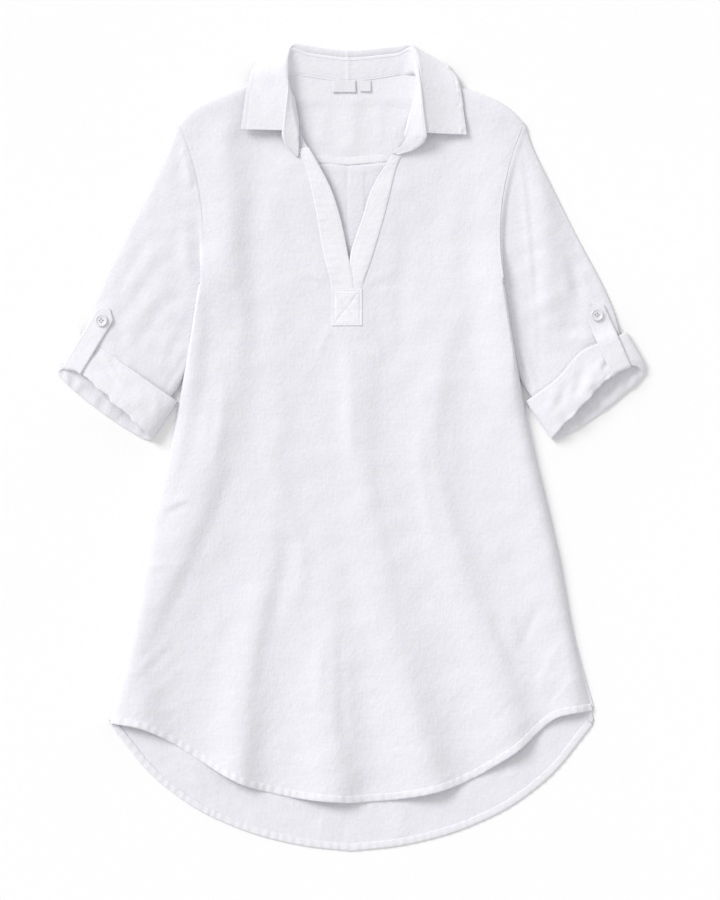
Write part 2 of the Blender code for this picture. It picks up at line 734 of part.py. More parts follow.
def build_tab(tab, below):
    """A pointed tab on the sleeve and the cuff, hooked over the fold at the cuff's mouth."""
    tip, foot = Vector(tab.tip), Vector(tab.foot)
    along = (foot - tip).normalized()
    across = Vector((-along.y, along.x))
    lift = TAB_CLEARANCE + TAB_CLOTH / 2

    def place(distance, column):
        share = mix(TAB_TIP_SHARE, 1, min(distance / TAB_POINT, 1))
        offset = tab.width / 2 * share * (2 * column / TAB_COLUMNS - 1)
        return tip + along * distance + across * offset

    def height(distance, column):
        spot = place(max(distance, 0), column)
        return top_of(below, spot.x, spot.y)

    lips = []
    for c in range(TAB_COLUMNS + 1):
        lip = (foot - tip).length * 0.7
        while height(lip, c) > CUFF_RIM * 1.6:
            lip += 0.25
        lips.append(lip)
    rows = []
    for k in range(TAB_ROWS + 1):
        row = []
        for c, lip in enumerate(lips):
            at = lip * k / TAB_ROWS
            reach = [min(at + d, lip - 0.5) for d in TAB_FEEL_ALONG]
            near = [height(distance, c + side) for distance in reach for side in TAB_FEEL_ACROSS]
            row.append((*place(at, c), max(near) + lift))
        rows.append(row)
    for beyond, drop in TAB_HOOK:
        row = [(*place(lip + beyond, c), rows[TAB_ROWS][c][2] - drop) for c, lip in enumerate(lips)]
        rows.append(row)
    return cloth_strip("tab_" + tab.hand, rows, TAB_CLOTH, "linen_double")


def build_button(tab, below):
    """A button with four holes, tilted to lie on the tab."""
    tip, foot = Vector(tab.tip), Vector(tab.foot)
    along = (foot - tip).normalized()
    across = Vector((-along.y, along.x))
    centre = tip + along * BUTTON_FROM_TIP
    reach = BUTTON_RADIUS * 0.8

    def lifted(offset):
        place = centre + offset
        return Vector((place.x, place.y, top_of(below, place.x, place.y)))

    slope_along = lifted(along * reach) - lifted(-along * reach)
    slope_across = lifted(across * reach) - lifted(-across * reach)
    normal = slope_along.cross(slope_across).normalized()
    if normal.z < 0:
        normal = -normal
    turn = normal.to_track_quat("Z", "Y")
    middle = lifted(Vector((0, 0)))
    around = [lifted(offset * reach) for offset in (along, -along, across, -across)]
    seat = max((spot - middle).dot(normal) for spot in around)
    place = middle + normal * (max(seat, 0) + SEAM_GAP + BUTTON_THICKNESS / 2)

    bm = bmesh.new()
    bmesh.ops.create_cone(
        bm,
        cap_ends=True,
        segments=28,
        radius1=BUTTON_RADIUS * MM,
        radius2=BUTTON_RADIUS * MM,
        depth=BUTTON_THICKNESS * MM,
    )
    top = max(bm.faces, key=lambda face: face.calc_center_median().z)
    bmesh.ops.inset_region(bm, faces=[top], thickness=BUTTON_RIM * MM, depth=-0.6 * MM)
    button = new_object("button_" + tab.hand, bm, "button")
    cutter_bm = bmesh.new()
    for k in range(4):
        angle = math.radians(45 + 90 * k)
        hole = Vector((math.cos(angle), math.sin(angle), 0)) * BUTTON_HOLE_OFFSET * MM
        bmesh.ops.create_cone(
            cutter_bm,
            cap_ends=True,
            segments=10,
            radius1=BUTTON_HOLE_RADIUS * MM,
            radius2=BUTTON_HOLE_RADIUS * MM,
            depth=4 * BUTTON_THICKNESS * MM,
            matrix=Matrix.Translation(hole),
        )
    cutter = new_object("button_holes_" + tab.hand, cutter_bm, "button")
    for made in (button, cutter):
        made.matrix_world = Matrix.Translation(place * MM) @ turn.to_matrix().to_4x4()
    cutter.hide_render = True
    cutter.hide_viewport = True
    holes = button.modifiers.new("holes", "BOOLEAN")
    holes.object = cutter
    holes.operation = "DIFFERENCE"
    holes.solver = "EXACT"
    return button


# Collar


def roll_section(section, along):
    """Points across the leaf: from its seam on the stand, over the roll, to its edge."""
    seam, roll, edge = (Vector(section[f]) for f in ("seam", "roll", "edge"))
    radius = section["radius"]
    up = (roll - seam).normalized()
    across = up.cross(along).normalized()
    away = edge - roll
    centre = roll - up * radius + across * radius
    turn = math.atan2(away.dot(across), away.dot(up))
    points = [roll - up * LEAF_SEAM_BELOW_ROLL]
    for k in range(ROLL_POINTS + 1):
        angle = turn * k / ROLL_POINTS
        points.append(centre - across * radius * math.cos(angle) + up * radius * math.sin(angle))
    start = points[-1]
    points += [start.lerp(edge, k / LEAF_COLUMNS) for k in range(1, LEAF_COLUMNS + 1)]
    return [tuple(p) for p in points]


def stand_row(row):
    seam, roll = Vector(row.seam), Vector(row.roll)
    top = roll - (roll - seam).normalized() * (LEAF_SEAM_BELOW_ROLL + LEAF_SEAM_GAP)
    return StandRow(max(row.steps, 1), row.seam, tuple(top))


def build_collar():
    filled = sections(COLLAR_ROWS, ("seam", "roll", "edge", "radius"))
    rolls = [Vector(s["roll"]) for s in filled]
    leaf = []
    for k, section in enumerate(filled):
        along = rolls[min(k + 1, len(rolls) - 1)] - rolls[max(k - 1, 0)]
        leaf.append(roll_section(section, along))
    cloth_strip("collar_leaf", leaf, CLOTH, "linen_double")
    stand_rows = STAND_END_LEFT + [stand_row(row) for row in COLLAR_ROWS] + STAND_END_RIGHT
    rows = []
    for section in sections(stand_rows, ("seam", "top")):
        seam, top = Vector(section["seam"]), Vector(section["top"])
        rows.append([tuple(seam.lerp(top, k / STAND_COLUMNS)) for k in range(STAND_COLUMNS + 1)])
    cloth_strip("collar_stand", rows, CLOTH, "linen_double")


def build_labels():
    for label in LABELS:
        rows = []
        for k in range(LABEL_ROWS + 1):
            y = mix(label.bottom, label.top, k / LABEL_ROWS)
            rows.append([(label.left, y), (label.right, y)])

        def low(x, y):
            return yoke_high(x, y) + SEAM_GAP

        cloth_between(label.name, [rows], low, lambda x, y: low(x, y) + LABEL_CLOTH, "label")


clear_scene()
build_back()
build_yoke()
build_front()
sleeves = {}
for hand, direction in (("left", -1), ("right", 1)):
    sleeves[hand] = [build_sleeve("sleeve_" + hand, direction), build_cuff("cuff_" + hand, direction)]
for tab in TABS:
    tab_cloth = build_tab(tab, surface_of(sleeves[tab.hand]))
    build_button(tab, BVHTree.FromObject(tab_cloth, bpy.context.evaluated_depsgraph_get()))
build_collar()
build_labels()
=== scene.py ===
"""A white linen popover dress with rolled sleeves, laid flat on its back under soft light.

Lengths in the sections are millimetres in the frame of the CAD part; MM makes them metres.
"""

import math

import bmesh
import bpy
import numpy as np
from mathutils import Matrix, Vector
from mathutils.bvhtree import BVHTree


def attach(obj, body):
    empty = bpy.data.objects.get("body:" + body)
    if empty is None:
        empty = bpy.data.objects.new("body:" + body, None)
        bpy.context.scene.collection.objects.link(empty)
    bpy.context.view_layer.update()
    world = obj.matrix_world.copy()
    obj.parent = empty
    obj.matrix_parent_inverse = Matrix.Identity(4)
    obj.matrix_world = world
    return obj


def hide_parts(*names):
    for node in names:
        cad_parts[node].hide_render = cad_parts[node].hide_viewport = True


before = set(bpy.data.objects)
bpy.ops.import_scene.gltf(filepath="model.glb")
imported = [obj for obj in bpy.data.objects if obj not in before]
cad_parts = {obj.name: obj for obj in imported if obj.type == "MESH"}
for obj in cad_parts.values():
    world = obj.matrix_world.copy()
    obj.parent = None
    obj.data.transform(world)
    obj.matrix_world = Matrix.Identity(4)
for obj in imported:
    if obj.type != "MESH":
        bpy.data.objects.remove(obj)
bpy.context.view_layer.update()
MM = 0.001

# ---- Floor ----
# A wide sheet of white paper that the dress lies on. It is plain and matt, and it isn't part
# of the object.


class Wire:
    """One socket of a material, so that sums of them read as they are written."""

    def __init__(self, tree, socket):
        self.tree = tree
        self.socket = socket

    def maths(self, operation, *others, turned=False):
        made = self.tree.nodes.new("ShaderNodeMath")
        made.operation = operation
        terms = (self, *others)
        for slot, term in zip(made.inputs, terms[::-1] if turned else terms):
            if isinstance(term, Wire):
                self.tree.links.new(term.socket, slot)
            else:
                slot.default_value = term
        return Wire(self.tree, made.outputs[0])

    def __add__(self, other):
        return self.maths("ADD", other)

    def __sub__(self, other):
        return self.maths("SUBTRACT", other)

    def __rsub__(self, other):
        return self.maths("SUBTRACT", other, turned=True)

    def __mul__(self, other):
        return self.maths("MULTIPLY", other)

    __radd__ = __add__
    __rmul__ = __mul__


class Finish:
    """A material being mixed, by its shader and its nodes."""

    def __init__(self, name, **constants):
        self.material = bpy.data.materials.new(name)
        self.material.use_nodes = True
        self.tree = self.material.node_tree
        self.shader = self.tree.nodes["Principled BSDF"]
        for socket, value in constants.items():
            self.shader.inputs[socket.replace("_", " ")].default_value = value

    def node(self, kind, settings, sockets, output=0):
        made = self.tree.nodes.new(kind)
        for name, value in settings.items():
            setattr(made, name, value)
        for slot, value in sockets.items():
            if isinstance(value, Wire):
                self.tree.links.new(value.socket, made.inputs[slot])
            else:
                made.inputs[slot].default_value = value
        return Wire(self.tree, made.outputs[output])

    def feed(self, **wires):
        for socket, wire in wires.items():
            self.tree.links.new(wire.socket, self.shader.inputs[socket.replace("_", " ")])
        return self.material

    def between(self, factor, dark, light):
        """A colour that goes from dark to light with the factor."""
        sockets = {0: factor, 6: (*dark, 1), 7: (*light, 1)}
        return self.node("ShaderNodeMix", {"data_type": "RGBA"}, sockets, output=2)


def linked(name, data):
    """An object of the scene that shows the data."""
    made = bpy.data.objects.new(name, data)
    bpy.context.collection.objects.link(made)
    return made


def mesh_from(name, bm):
    mesh = bpy.data.meshes.new(name)
    bm.to_mesh(mesh)
    bm.free()
    return mesh


OBJECT_PLACE = 3  # the Texture Coordinate node's Object output

FLOOR_REACH = 30  # metres, past every edge of the picture
FLOOR_DROP = 0.3

paper = Finish("white_paper", Roughness=0.95, Specular_IOR_Level=0.1)
paper_place = paper.node("ShaderNodeTexCoord", {}, {}, output=OBJECT_PLACE)
paper_cloud = paper.node("ShaderNodeTexNoise", {}, {"Vector": paper_place, "Scale": 3.0, "Detail": 2.0})
paper_white = paper.between(paper_cloud, (0.930, 0.930, 0.930), (0.938, 0.938, 0.938))

floor_bm = bmesh.new()
bmesh.ops.create_grid(floor_bm, x_segments=2, y_segments=2, size=FLOOR_REACH)
bmesh.ops.translate(floor_bm, verts=floor_bm.verts, vec=(0, 0, -FLOOR_DROP * MM))
floor_mesh = mesh_from("floor", floor_bm)
floor_mesh.materials.append(paper.feed(Base_Color=paper_white))
floor = linked("floor", floor_mesh)

# ---- Light and camera ----
# One broad soft key from the upper left, low enough to draw the folds, in an even white
# surround, and a camera that looks straight down as the photograph does.

KEY_FROM = Vector((-0.62, 0.54, 0.52))
KEY_STRENGTH = 2.02
KEY_SOFTNESS = 26
FILL = (0.72, 0.72, 0.72)

key_data = bpy.data.lights.new("key", "SUN")
key_data.energy = KEY_STRENGTH
key_data.angle = math.radians(KEY_SOFTNESS)
key = linked("key", key_data)
key.rotation_euler = KEY_FROM.to_track_quat("Z", "Y").to_euler()

world = bpy.data.worlds.new("studio")
world.use_nodes = True
world.node_tree.nodes["Background"].inputs["Color"].default_value = (*FILL, 1)
bpy.context.scene.world = world
bpy.context.scene.view_settings.view_transform = "Standard"

PICTURE_CENTRE = (10.2, -3.6)
CAMERA_HEIGHT = 4000
PICTURE_HEIGHT = 1080
SENSOR = 36

camera_data = bpy.data.cameras.new("camera")
camera_data.sensor_width = SENSOR
camera_data.lens = SENSOR * CAMERA_HEIGHT / PICTURE_HEIGHT
camera_data.clip_end = 100
camera = linked("camera", camera_data)
camera.location = Vector((*PICTURE_CENTRE, CAMERA_HEIGHT)) * MM
bpy.context.scene.camera = camera

# ---- Back panel ----
# The back of the dress, one piece of washed linen cut on the straight grain. It lies on the
# floor, inside up, with an inverted pleat under the yoke and a long shirt-tail hem.

THREAD_PITCH = 0.8


def linen(name, dark, light):
    """Washed linen: uneven threads both ways, slubs, and the crumple that washing leaves, with painted
    shade in the crinkle's low places.
    """
    cloth = Finish(name, Roughness=0.92, Specular_IOR_Level=0.25, Sheen_Weight=0.15, Sheen_Roughness=0.6)
    cut = cloth.node("ShaderNodeUVMap", {"uv_map": "cut"}, {})

    def uneven(across, along, detail):
        scaled = cloth.node(
            "ShaderNodeVectorMath",
            {"operation": "MULTIPLY"},
            {0: cut, 1: (across, along, 1)},
        )
        sockets = {"Vector": scaled, "Scale": 1.0, "Detail": detail}
        return cloth.node("ShaderNodeTexNoise", {"noise_dimensions": "2D"}, sockets)

    axes = [cloth.node("ShaderNodeSeparateXYZ", {}, {0: cut}, output=k) for k in (0, 1)]
    threads = [(axis * (2 * math.pi / THREAD_PITCH / MM)).maths("SINE") for axis in axes]
    weave = threads[0] * threads[1]
    warp = uneven(420, 60, 2)
    weft = uneven(60, 420, 2)
    crumple = uneven(44, 40, 2)
    crinkle = uneven(260, 225, 3)
    # millimetres of relief
    height = weave * 0.018 + warp * 0.085 + weft * 0.06 + crumple * 0.7 + crinkle * 0.41
    # the colour follows the threads' slubs, and is darker where the crinkle is low: painted shade in its
    # troughs
    slubs_and_crinkle_shade = warp * 0.3 + weft * 0.3 + crinkle * 0.4
    tone_with_painted_shade = slubs_and_crinkle_shade * 2 - 0.5
    bump = cloth.node("ShaderNodeBump", {}, {"Strength": 1.0, "Distance": MM, "Height": height})
    return cloth.feed(Base_Color=cloth.between(tone_with_painted_shade, dark, light), Normal=bump)


single_linen = linen("linen", (0.758, 0.751, 0.796), (0.820, 0.812, 0.858))
double_linen = linen("linen_double", (0.780, 0.773, 0.816), (0.836, 0.828, 0.873))


def ease(start, end, value):
    """A smooth step from 0 at start to 1 at end."""
    share = np.clip((value - start) / (end - start), 0, 1)
    return share * share * (3 - 2 * share)


def bell(off, half):
    """A rounded ridge, 1 at its crest."""
    return np.exp(-0.5 * (off / half) ** 2)


def curve(knots, values, at):
    """A smooth curve through values, numbers or points, at rising knots."""
    knots, values = np.array(knots, float), np.array(values, float)
    slopes = np.empty_like(values)
    span = (knots[2:] - knots[:-2]).reshape((-1,) + (1,) * (values.ndim - 1))
    slopes[1:-1] = (values[2:] - values[:-2]) / span
    slopes[0] = (values[1] - values[0]) / (knots[1] - knots[0])
    slopes[-1] = (values[-1] - values[-2]) / (knots[-1] - knots[-2])
    at = np.clip(at, knots[0], knots[-1])
    i = np.clip(np.searchsorted(knots, at, side="right") - 1, 0, len(knots) - 2)
    width, t = knots[i + 1] - knots[i], (at - knots[i]) / (knots[i + 1] - knots[i])
    if values.ndim > 1:
        width, t = width[..., None], t[..., None]
    start = (1 + 2 * t) * (1 - t) ** 2 * values[i] + t * (1 - t) ** 2 * slopes[i] * width
    return start + t * t * (3 - 2 * t) * values[i + 1] + t * t * (t - 1) * slopes[i + 1] * width


def columns_at(rows, at):
    """The columns of a table of rows, as smooth curves at places along its rows."""
    return [curve(range(len(rows)), column, at) for column in zip(*rows)]


def spaced(spans, step):
    """Places along a table of rows about a step apart, from the distances between its rows."""
    places = [k + np.arange(0, 1, step / span) for k, span in enumerate(spans)]
    return np.concatenate([*places, [len(spans)]])


RIPPLE_WAVES = 14


def ripple(x, y, length, height, seed):
    """An even, seeded unevenness of about that wavelength."""
    draw = np.random.default_rng(seed)
    total = np.zeros_like(x, dtype=float)
    for _ in range(RIPPLE_WAVES):
        angle, phase = draw.random() * math.pi, draw.random() * 2 * math.pi
        wave = 2 * math.pi / (length * (0.7 + 0.8 * draw.random()))
        total += np.sin((x * math.cos(angle) + y * math.sin(angle)) * wave + phase)
    return height * total / math.sqrt(RIPPLE_WAVES / 2)


def from_segment(x, y, a, b):
    """How far along a segment the nearest point of it lies, as a share, and how far off it is."""
    way = np.subtract(b, a)
    t = np.clip(((x - a[0]) * way[0] + (y - a[1]) * way[1]) / (way @ way), 0, 1)
    return t, np.hypot(x - a[0] - t * way[0], y - a[1] - t * way[1])


def creases(x, y, table):
    """Heights that the listed creases add: each row is height, half width and its path."""
    total = np.zeros_like(x, dtype=float)
    for height, half, *path in table:
        fine = curve(range(len(path)), path, np.linspace(0, len(path) - 1, 4 * len(path) - 3))
        steps = np.hypot(*np.diff(fine, axis=0).T)
        run = np.concatenate([[0], np.cumsum(steps)]) / steps.sum()
        nearest, share = np.full(x.shape, np.inf), np.zeros(x.shape)
        for a, b, from_run, to_run in zip(fine, fine[1:], run, run[1:]):
            t, off = from_segment(x, y, a, b)
            share = np.where(off < nearest, from_run + t * (to_run - from_run), share)
            nearest = np.minimum(nearest, off)
        fade = ease(0, 0.3, share) * ease(1, 0.7, share)
        total += height * fade * bell(nearest, half)
    return total


def grid(rows, columns):
    """Two arrays of shares from 0 to 1, along the rows and across the columns."""
    along = np.linspace(0, 1, rows + 1) if np.isscalar(rows) else np.array(rows, float)
    across = np.linspace(0, 1, columns + 1) if np.isscalar(columns) else np.array(columns, float)
    return np.meshgrid(along, across, indexing="ij")


def lengths(points, axis):
    """Distances run along a grid of points, from its first row or column."""
    steps = np.linalg.norm(np.diff(points, axis=axis), axis=2)
    start = np.zeros_like(steps.take([0], axis=axis))
    return np.concatenate([start, np.cumsum(steps, axis=axis)], axis=axis)


SAME_PLACE = 0.004


def cloth(name, points, finish, thickness=0.0, cut=None, closed=False, offset=-1.0):
    """A piece of cloth through a grid of points, with its flat cut as UVs, in millimetres.

    A closed piece is a tube, whose coinciding rows and columns are joined.
    """
    rows, columns = points.shape[0] - 1, points.shape[1] - 1
    if cut is None:
        cut = points[..., :2]
    bm = bmesh.new()
    bmesh.ops.create_grid(bm, x_segments=columns, y_segments=rows, size=1)
    mesh = mesh_from(name, bm)
    flat = np.empty(3 * len(mesh.vertices), np.float32)
    mesh.vertices.foreach_get("co", flat)
    flat = flat.reshape(-1, 3)
    column = np.rint((flat[:, 0] + 1) / 2 * columns).astype(int)
    row = np.rint((flat[:, 1] + 1) / 2 * rows).astype(int)
    mesh.vertices.foreach_set("co", (points[row, column] * MM).astype(np.float32).ravel())
    loops = np.empty(len(mesh.loops), np.int32)
    mesh.loops.foreach_get("vertex_index", loops)
    layer = mesh.uv_layers.new(name="cut")
    layer.data.foreach_set("uv", (cut[row, column][loops] * MM).astype(np.float32).ravel())
    bm = bmesh.new()
    bm.from_mesh(mesh)
    if closed:
        bmesh.ops.remove_doubles(bm, verts=bm.verts, dist=SAME_PLACE * MM)
        bmesh.ops.recalc_face_normals(bm, faces=bm.faces)
    elif sum(face.normal.z for face in bm.faces) < 0:
        bmesh.ops.reverse_faces(bm, faces=bm.faces)
    bm.to_mesh(mesh)
    bm.free()
    mesh.shade_smooth()
    mesh.materials.append(finish)
    made = linked(name, mesh)
    if thickness:
        wall = made.modifiers.new("thickness", "SOLIDIFY")
        wall.thickness = thickness * MM
        wall.offset = offset
    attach(made, "root")
    return made


SIDE_SEAM = ((-331, 291), (-225, 265), (-124, 246), (-4, 218), (95, 199), (197, 183))
UNDERARM = (183, 197)
SHOULDER_TIP = (207, 388)
ARMHOLE_DEPTH = 15
NECK_POINT = (78, 446)
BACK_NECK = 438
UNDER_STAND = 5.5
CENTRE_BACK = -5
YOKE_SEAM = (338, 352)
BACK_HEM = (
    (0, -485), (55, -479), (108, -467), (147, -453), (188, -433),
    (227, -405), (250, -383), (270, -358), (291, -331),
)
BACK_CLOTH = 0.7
BACK_FACE = 0.9
SLEEVE_LIFT = 5.0
COLLAR_LIFT = 1.7
PLEAT_LENGTH = 260
PLEAT_FOLD = 0.6
PLEAT_SLOT = 0.5
YOKE_STEP = 0.7


def half_width(y):
    """Half the body's width at the side seam, and at the armhole above the underarm."""
    side = curve(*zip(*SIDE_SEAM), np.asarray(y, float))
    down = (SHOULDER_TIP[1] - y) / (SHOULDER_TIP[1] - UNDERARM[1])
    armhole = SHOULDER_TIP[0] + (UNDERARM[0] - SHOULDER_TIP[0]) * down
    return np.where(y < UNDERARM[1], side, armhole - ARMHOLE_DEPTH * 4 * down * (1 - down))


def back_hem_y(x):
    return curve(*zip(*BACK_HEM), np.abs(x))


def yoke_seam_y(x):
    out = np.minimum(np.abs(x - CENTRE_BACK) / UNDERARM[0], 1)
    return YOKE_SEAM[0] + (YOKE_SEAM[1] - YOKE_SEAM[0]) * out


def tucked(x, y):
    """How far the body is lifted by the sleeve that lies tucked under its side."""
    along = ease(30, 78, y) * ease(253, 205, y)
    inward = half_width(np.minimum(y, UNDERARM[1])) - np.abs(x)
    return SLEEVE_LIFT * along * ease(54, 6, inward)


def back_lift(x, y):
    """How far the body is lifted off the floor by what lies under it."""
    over_collar = ease(404, 418, y) * ease(120, 104, np.abs(x))
    return np.maximum(tucked(x, y), COLLAR_LIFT * over_collar)


BACK_CREASES = (
    (1.0, 7, (-215, -352), (-190, -385), (-176, -425)),
    (0.9, 8, (-120, -430), (-112, -452), (-96, -472)),
    (1.1, 9, (-40, -440), (-30, -462), (-26, -482)),
    (0.9, 7, (52, -436), (60, -458), (70, -474)),
    (1.1, 8, (118, -418), (134, -436), (146, -450)),
    (0.9, 7, (186, -384), (204, -398), (216, -410)),
    (0.8, 6, (-246, -338), (-236, -356), (-228, -384)),
    (1.0, 10, (-150, 250), (-140, 120), (-160, -20), (-190, -160)),
    (0.9, 9, (96, 230), (108, 90), (120, -60), (150, -210)),
    (0.8, 12, (-60, 120), (-66, -40), (-52, -200), (-60, -330)),
    (0.8, 10, (30, 60), (44, -90), (52, -260)),
    (0.7, 9, (160, 60), (180, -80), (214, -230)),
)


def pleat_open(y):
    """How much of the box pleat's fold is left that far down from the yoke."""
    return ease(-PLEAT_LENGTH, 0, y - YOKE_SEAM[0])


def back_top(x, y):
    """The upper, inner surface of the back panel and of the pleat's two folds on it."""
    off = np.abs(x - CENTRE_BACK)
    pleat = pleat_open(y) * (PLEAT_FOLD * ease(22.5, 18.5, off) - PLEAT_SLOT * bell(off, 1.4))
    from_seam = y - yoke_seam_y(x)
    pleat = pleat + (YOKE_STEP - pleat) * ease(-12, -3, from_seam)
    pleat = pleat - YOKE_STEP * ease(-0.8, 0.8, from_seam)
    wrinkled = creases(x, y, BACK_CREASES) + np.maximum(ripple(x, y, 46, 0.16, 3), -0.1)
    wrinkled = wrinkled + ripple(x, y, 13, 1, 4) * (0.06 + 0.08 * ease(-250, -380, y))
    wrinkled = wrinkled * ease(3, 16, y - back_hem_y(x))
    return back_lift(x, y) + BACK_FACE + pleat + wrinkled


BACK_HALF = 190
BACK_STEP = 3.6
BACK_ROWS = 196
HEM_IN = 2.5
# finer columns at the pleat's folds and at the sides
pleat_columns = [CENTRE_BACK + d for d in (-22, -21, -20, -19, -2.4, -1.2, 0, 1.2, 2.4, 19, 20, 21, 22)]
edge_columns = [side * (BACK_HALF - d) for side in (-1, 1) for d in (0.6, 2, 4)]
even_columns = np.arange(-BACK_HALF, BACK_HALF + BACK_STEP, BACK_STEP)
back_across = np.concatenate([even_columns, pleat_columns, edge_columns])
back_across = np.unique(np.clip(back_across, -BACK_HALF, BACK_HALF)) / BACK_HALF
back_along, across = grid(BACK_ROWS, (back_across + 1) / 2)
across = 2 * across - 1
side_y = SIDE_SEAM[0][0] + (YOKE_SEAM[1] + 1 - SIDE_SEAM[0][0]) * back_along
back_x = across * half_width(side_y)
hem_line = back_hem_y(across * SIDE_SEAM[0][1]) + HEM_IN
back_y = hem_line + (yoke_seam_y(back_x) + 1 - hem_line) * back_along
back_points = np.stack([back_x, back_y, back_top(back_x, back_y)], axis=2)
back_panel = cloth("back_panel", back_points, single_linen, BACK_CLOTH)
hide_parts("back_body")

# ---- Back hem ----
# The lower edge of the back, turned up twice to a 9 mm hem and stitched down. The bias of the
# curve makes the turned hem pucker between its stitches.


def flat_tube(
    name, one_edge, other_edge, base, thickness, finish,
    pucker=0.0, period=11.0, seed=1, around=12, inner=1.0,
):
    """A flat folded band of cloth between two plan curves, lying on the height base(x, y).

    It puckers along its length, and only inner times as much towards the other edge.
    """
    one_edge, other_edge = np.array(one_edge, float), np.array(other_edge, float)
    angle = np.linspace(0, 2 * math.pi, around + 1)
    p = (1 - np.cos(angle)) / 2
    x = one_edge[:, :1] * (1 - p) + other_edge[:, :1] * p
    y = one_edge[:, 1:] * (1 - p) + other_edge[:, 1:] * p
    middle = (one_edge + other_edge) / 2
    run = np.concatenate([[0], np.cumsum(np.hypot(*np.diff(middle, axis=0).T))])[:, None]
    draw = np.random.default_rng(seed)
    drift = np.interp(run, np.linspace(0, run[-1, 0], 40), draw.normal(0, 1.1, 40))
    wave = np.sin(2 * math.pi * run / period + drift + 1.5 * p)
    strength = np.interp(run, np.linspace(0, run[-1, 0], 60), draw.uniform(0.45, 1.0, 60))
    upper = np.sign(np.sin(angle)) * np.abs(np.sin(angle)) ** 0.55
    gathered = pucker * (inner + (1 - inner) * ease(0.55, 0.1, p))
    puffed = thickness * (0.5 + 0.5 * upper) + gathered * strength * wave * np.maximum(upper, 0)
    ends = np.minimum(np.minimum(run, run[-1] - run) / 1.5, 1)
    z = base(x, y) + thickness / 2 + (puffed - thickness / 2) * ends
    points = np.stack([x, y, z], axis=2)
    width = np.hypot(*(other_edge - one_edge).T).mean()
    cut = np.stack([np.broadcast_to(p * width, x.shape), np.broadcast_to(run, x.shape)], axis=2)
    return cloth(name, points, finish, cut=cut, closed=True)


thread = Finish("sewing_thread", Roughness=0.7, Specular_IOR_Level=0.3)
thread_place = thread.node("ShaderNodeTexCoord", {}, {}, output=OBJECT_PLACE)
thread_twist = thread.node("ShaderNodeTexNoise", {}, {"Vector": thread_place, "Scale": 2600.0})
thread_finish = thread.feed(
    Base_Color=thread.between(thread_twist, (0.74, 0.73, 0.78), (0.86, 0.85, 0.89))
)


def ray_tree(*pieces):
    """A search tree over pieces as they are shown."""
    joined = bmesh.new()
    for piece in pieces:
        joined.from_object(piece, bpy.context.evaluated_depsgraph_get())
    tree = BVHTree.FromBMesh(joined)
    joined.free()
    return tree


ABOVE_ALL = 60


def height_at(tree, x, y):
    """The height of what is met from above at a place, or None."""
    hit = tree.ray_cast(Vector((x, y, ABOVE_ALL)) * MM, Vector((0, 0, -1)))[0]
    return None if hit is None else hit.z / MM


def drop_on(tree, line):
    """A plan line dropped from above on what lies under it, as points in millimetres."""
    dropped = [(x, y, height_at(tree, x, y)) for x, y in line]
    return np.array([point for point in dropped if point[2] is not None])


def stitches(name, lines, pitch=3.1, length=2.3, radius=0.24, seed=5):
    """Rows of sewn stitches along lines of points, one small spindle of thread for each."""
    draw = np.random.default_rng(seed)
    bm = bmesh.new()
    for line in lines:
        line = np.asarray(line, float)
        run = np.concatenate([[0], np.cumsum(np.linalg.norm(np.diff(line, axis=0), axis=1))])
        for start in np.arange(pitch / 2, run[-1] - pitch / 2, pitch):
            ends = [
                Vector([np.interp(start + side * length / 2, run, line[:, k]) for k in range(3)])
                for side in (-1, 1)
            ]
            way = ends[1] - ends[0]
            turn = way.to_track_quat("X", "Z").to_matrix().to_4x4()
            skew = Matrix.Rotation(draw.normal(0, 0.05), 4, "Z")
            size = Matrix.Diagonal((length / 2 * MM, radius * MM, radius * MM, 1))
            place = Matrix.Translation((ends[0] + ends[1]) / 2 * MM)
            bmesh.ops.create_icosphere(bm, subdivisions=1, radius=1, matrix=place @ turn @ skew @ size)
    mesh = mesh_from(name, bm)
    mesh.shade_smooth()
    mesh.materials.append(thread_finish)
    made = linked(name, mesh)
    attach(made, "root")
    return made


HEM_HALF = SIDE_SEAM[0][1] - 1
HEM_POINTS = 406
HEM_WIDTH = 9
HEM_CLOTH = 1.9
HEM_STITCHED = 0.86


def sewn_hem(name, line_y, inner_half, base, pucker, seed):
    """A hem along a curved lower edge, and its row of stitching."""
    x = np.linspace(-HEM_HALF, HEM_HALF, HEM_POINTS)
    edge = np.stack([x, line_y(x)], axis=1)
    way = np.gradient(edge, axis=0)
    way /= np.linalg.norm(way, axis=1)[:, None]
    inner = edge + HEM_WIDTH * np.stack([-way[:, 1], way[:, 0]], axis=1)
    inner[:, 0] = np.clip(inner[:, 0], -inner_half, inner_half)
    hem = flat_tube(name, edge, inner, base, HEM_CLOTH, double_linen, pucker=pucker, seed=seed)
    line = drop_on(ray_tree(hem), edge + (inner - edge) * HEM_STITCHED)
    return hem, stitches(name + "_stitches", [line])


back_hem, back_hem_sewing = sewn_hem("back_hem", back_hem_y, 285, back_lift, 0.46, 11)

# ---- Yoke ----
# The shoulder piece across the upper back, in the lighter linen of two layers; its lighter colour is
# partly painted light, brightening the yoke in the collar's shade. Its lower seam is pressed up and
# topstitched inside, which shows as a band through the neck.


def yoke_end_y(x):
    """The yoke's upper edge at the neck, which is caught in a little above the stand's seam."""
    out = np.minimum(np.abs(x) / NECK_POINT[0], 1)
    return BACK_NECK + (NECK_POINT[1] - BACK_NECK) * out**2 + UNDER_STAND * (1 - out**6)


SHOULDER_RISE = ((78, 0), (100, 4), (123, 9), (150, 12), (175, 13), (193, 9), (207, 0))


def shoulder_y(x):
    out = np.clip(np.abs(x), NECK_POINT[0], SHOULDER_TIP[0])
    share = (out - NECK_POINT[0]) / (SHOULDER_TIP[0] - NECK_POINT[0])
    chord = NECK_POINT[1] + (SHOULDER_TIP[1] - NECK_POINT[1]) * share
    return chord + curve(*zip(*SHOULDER_RISE), out)


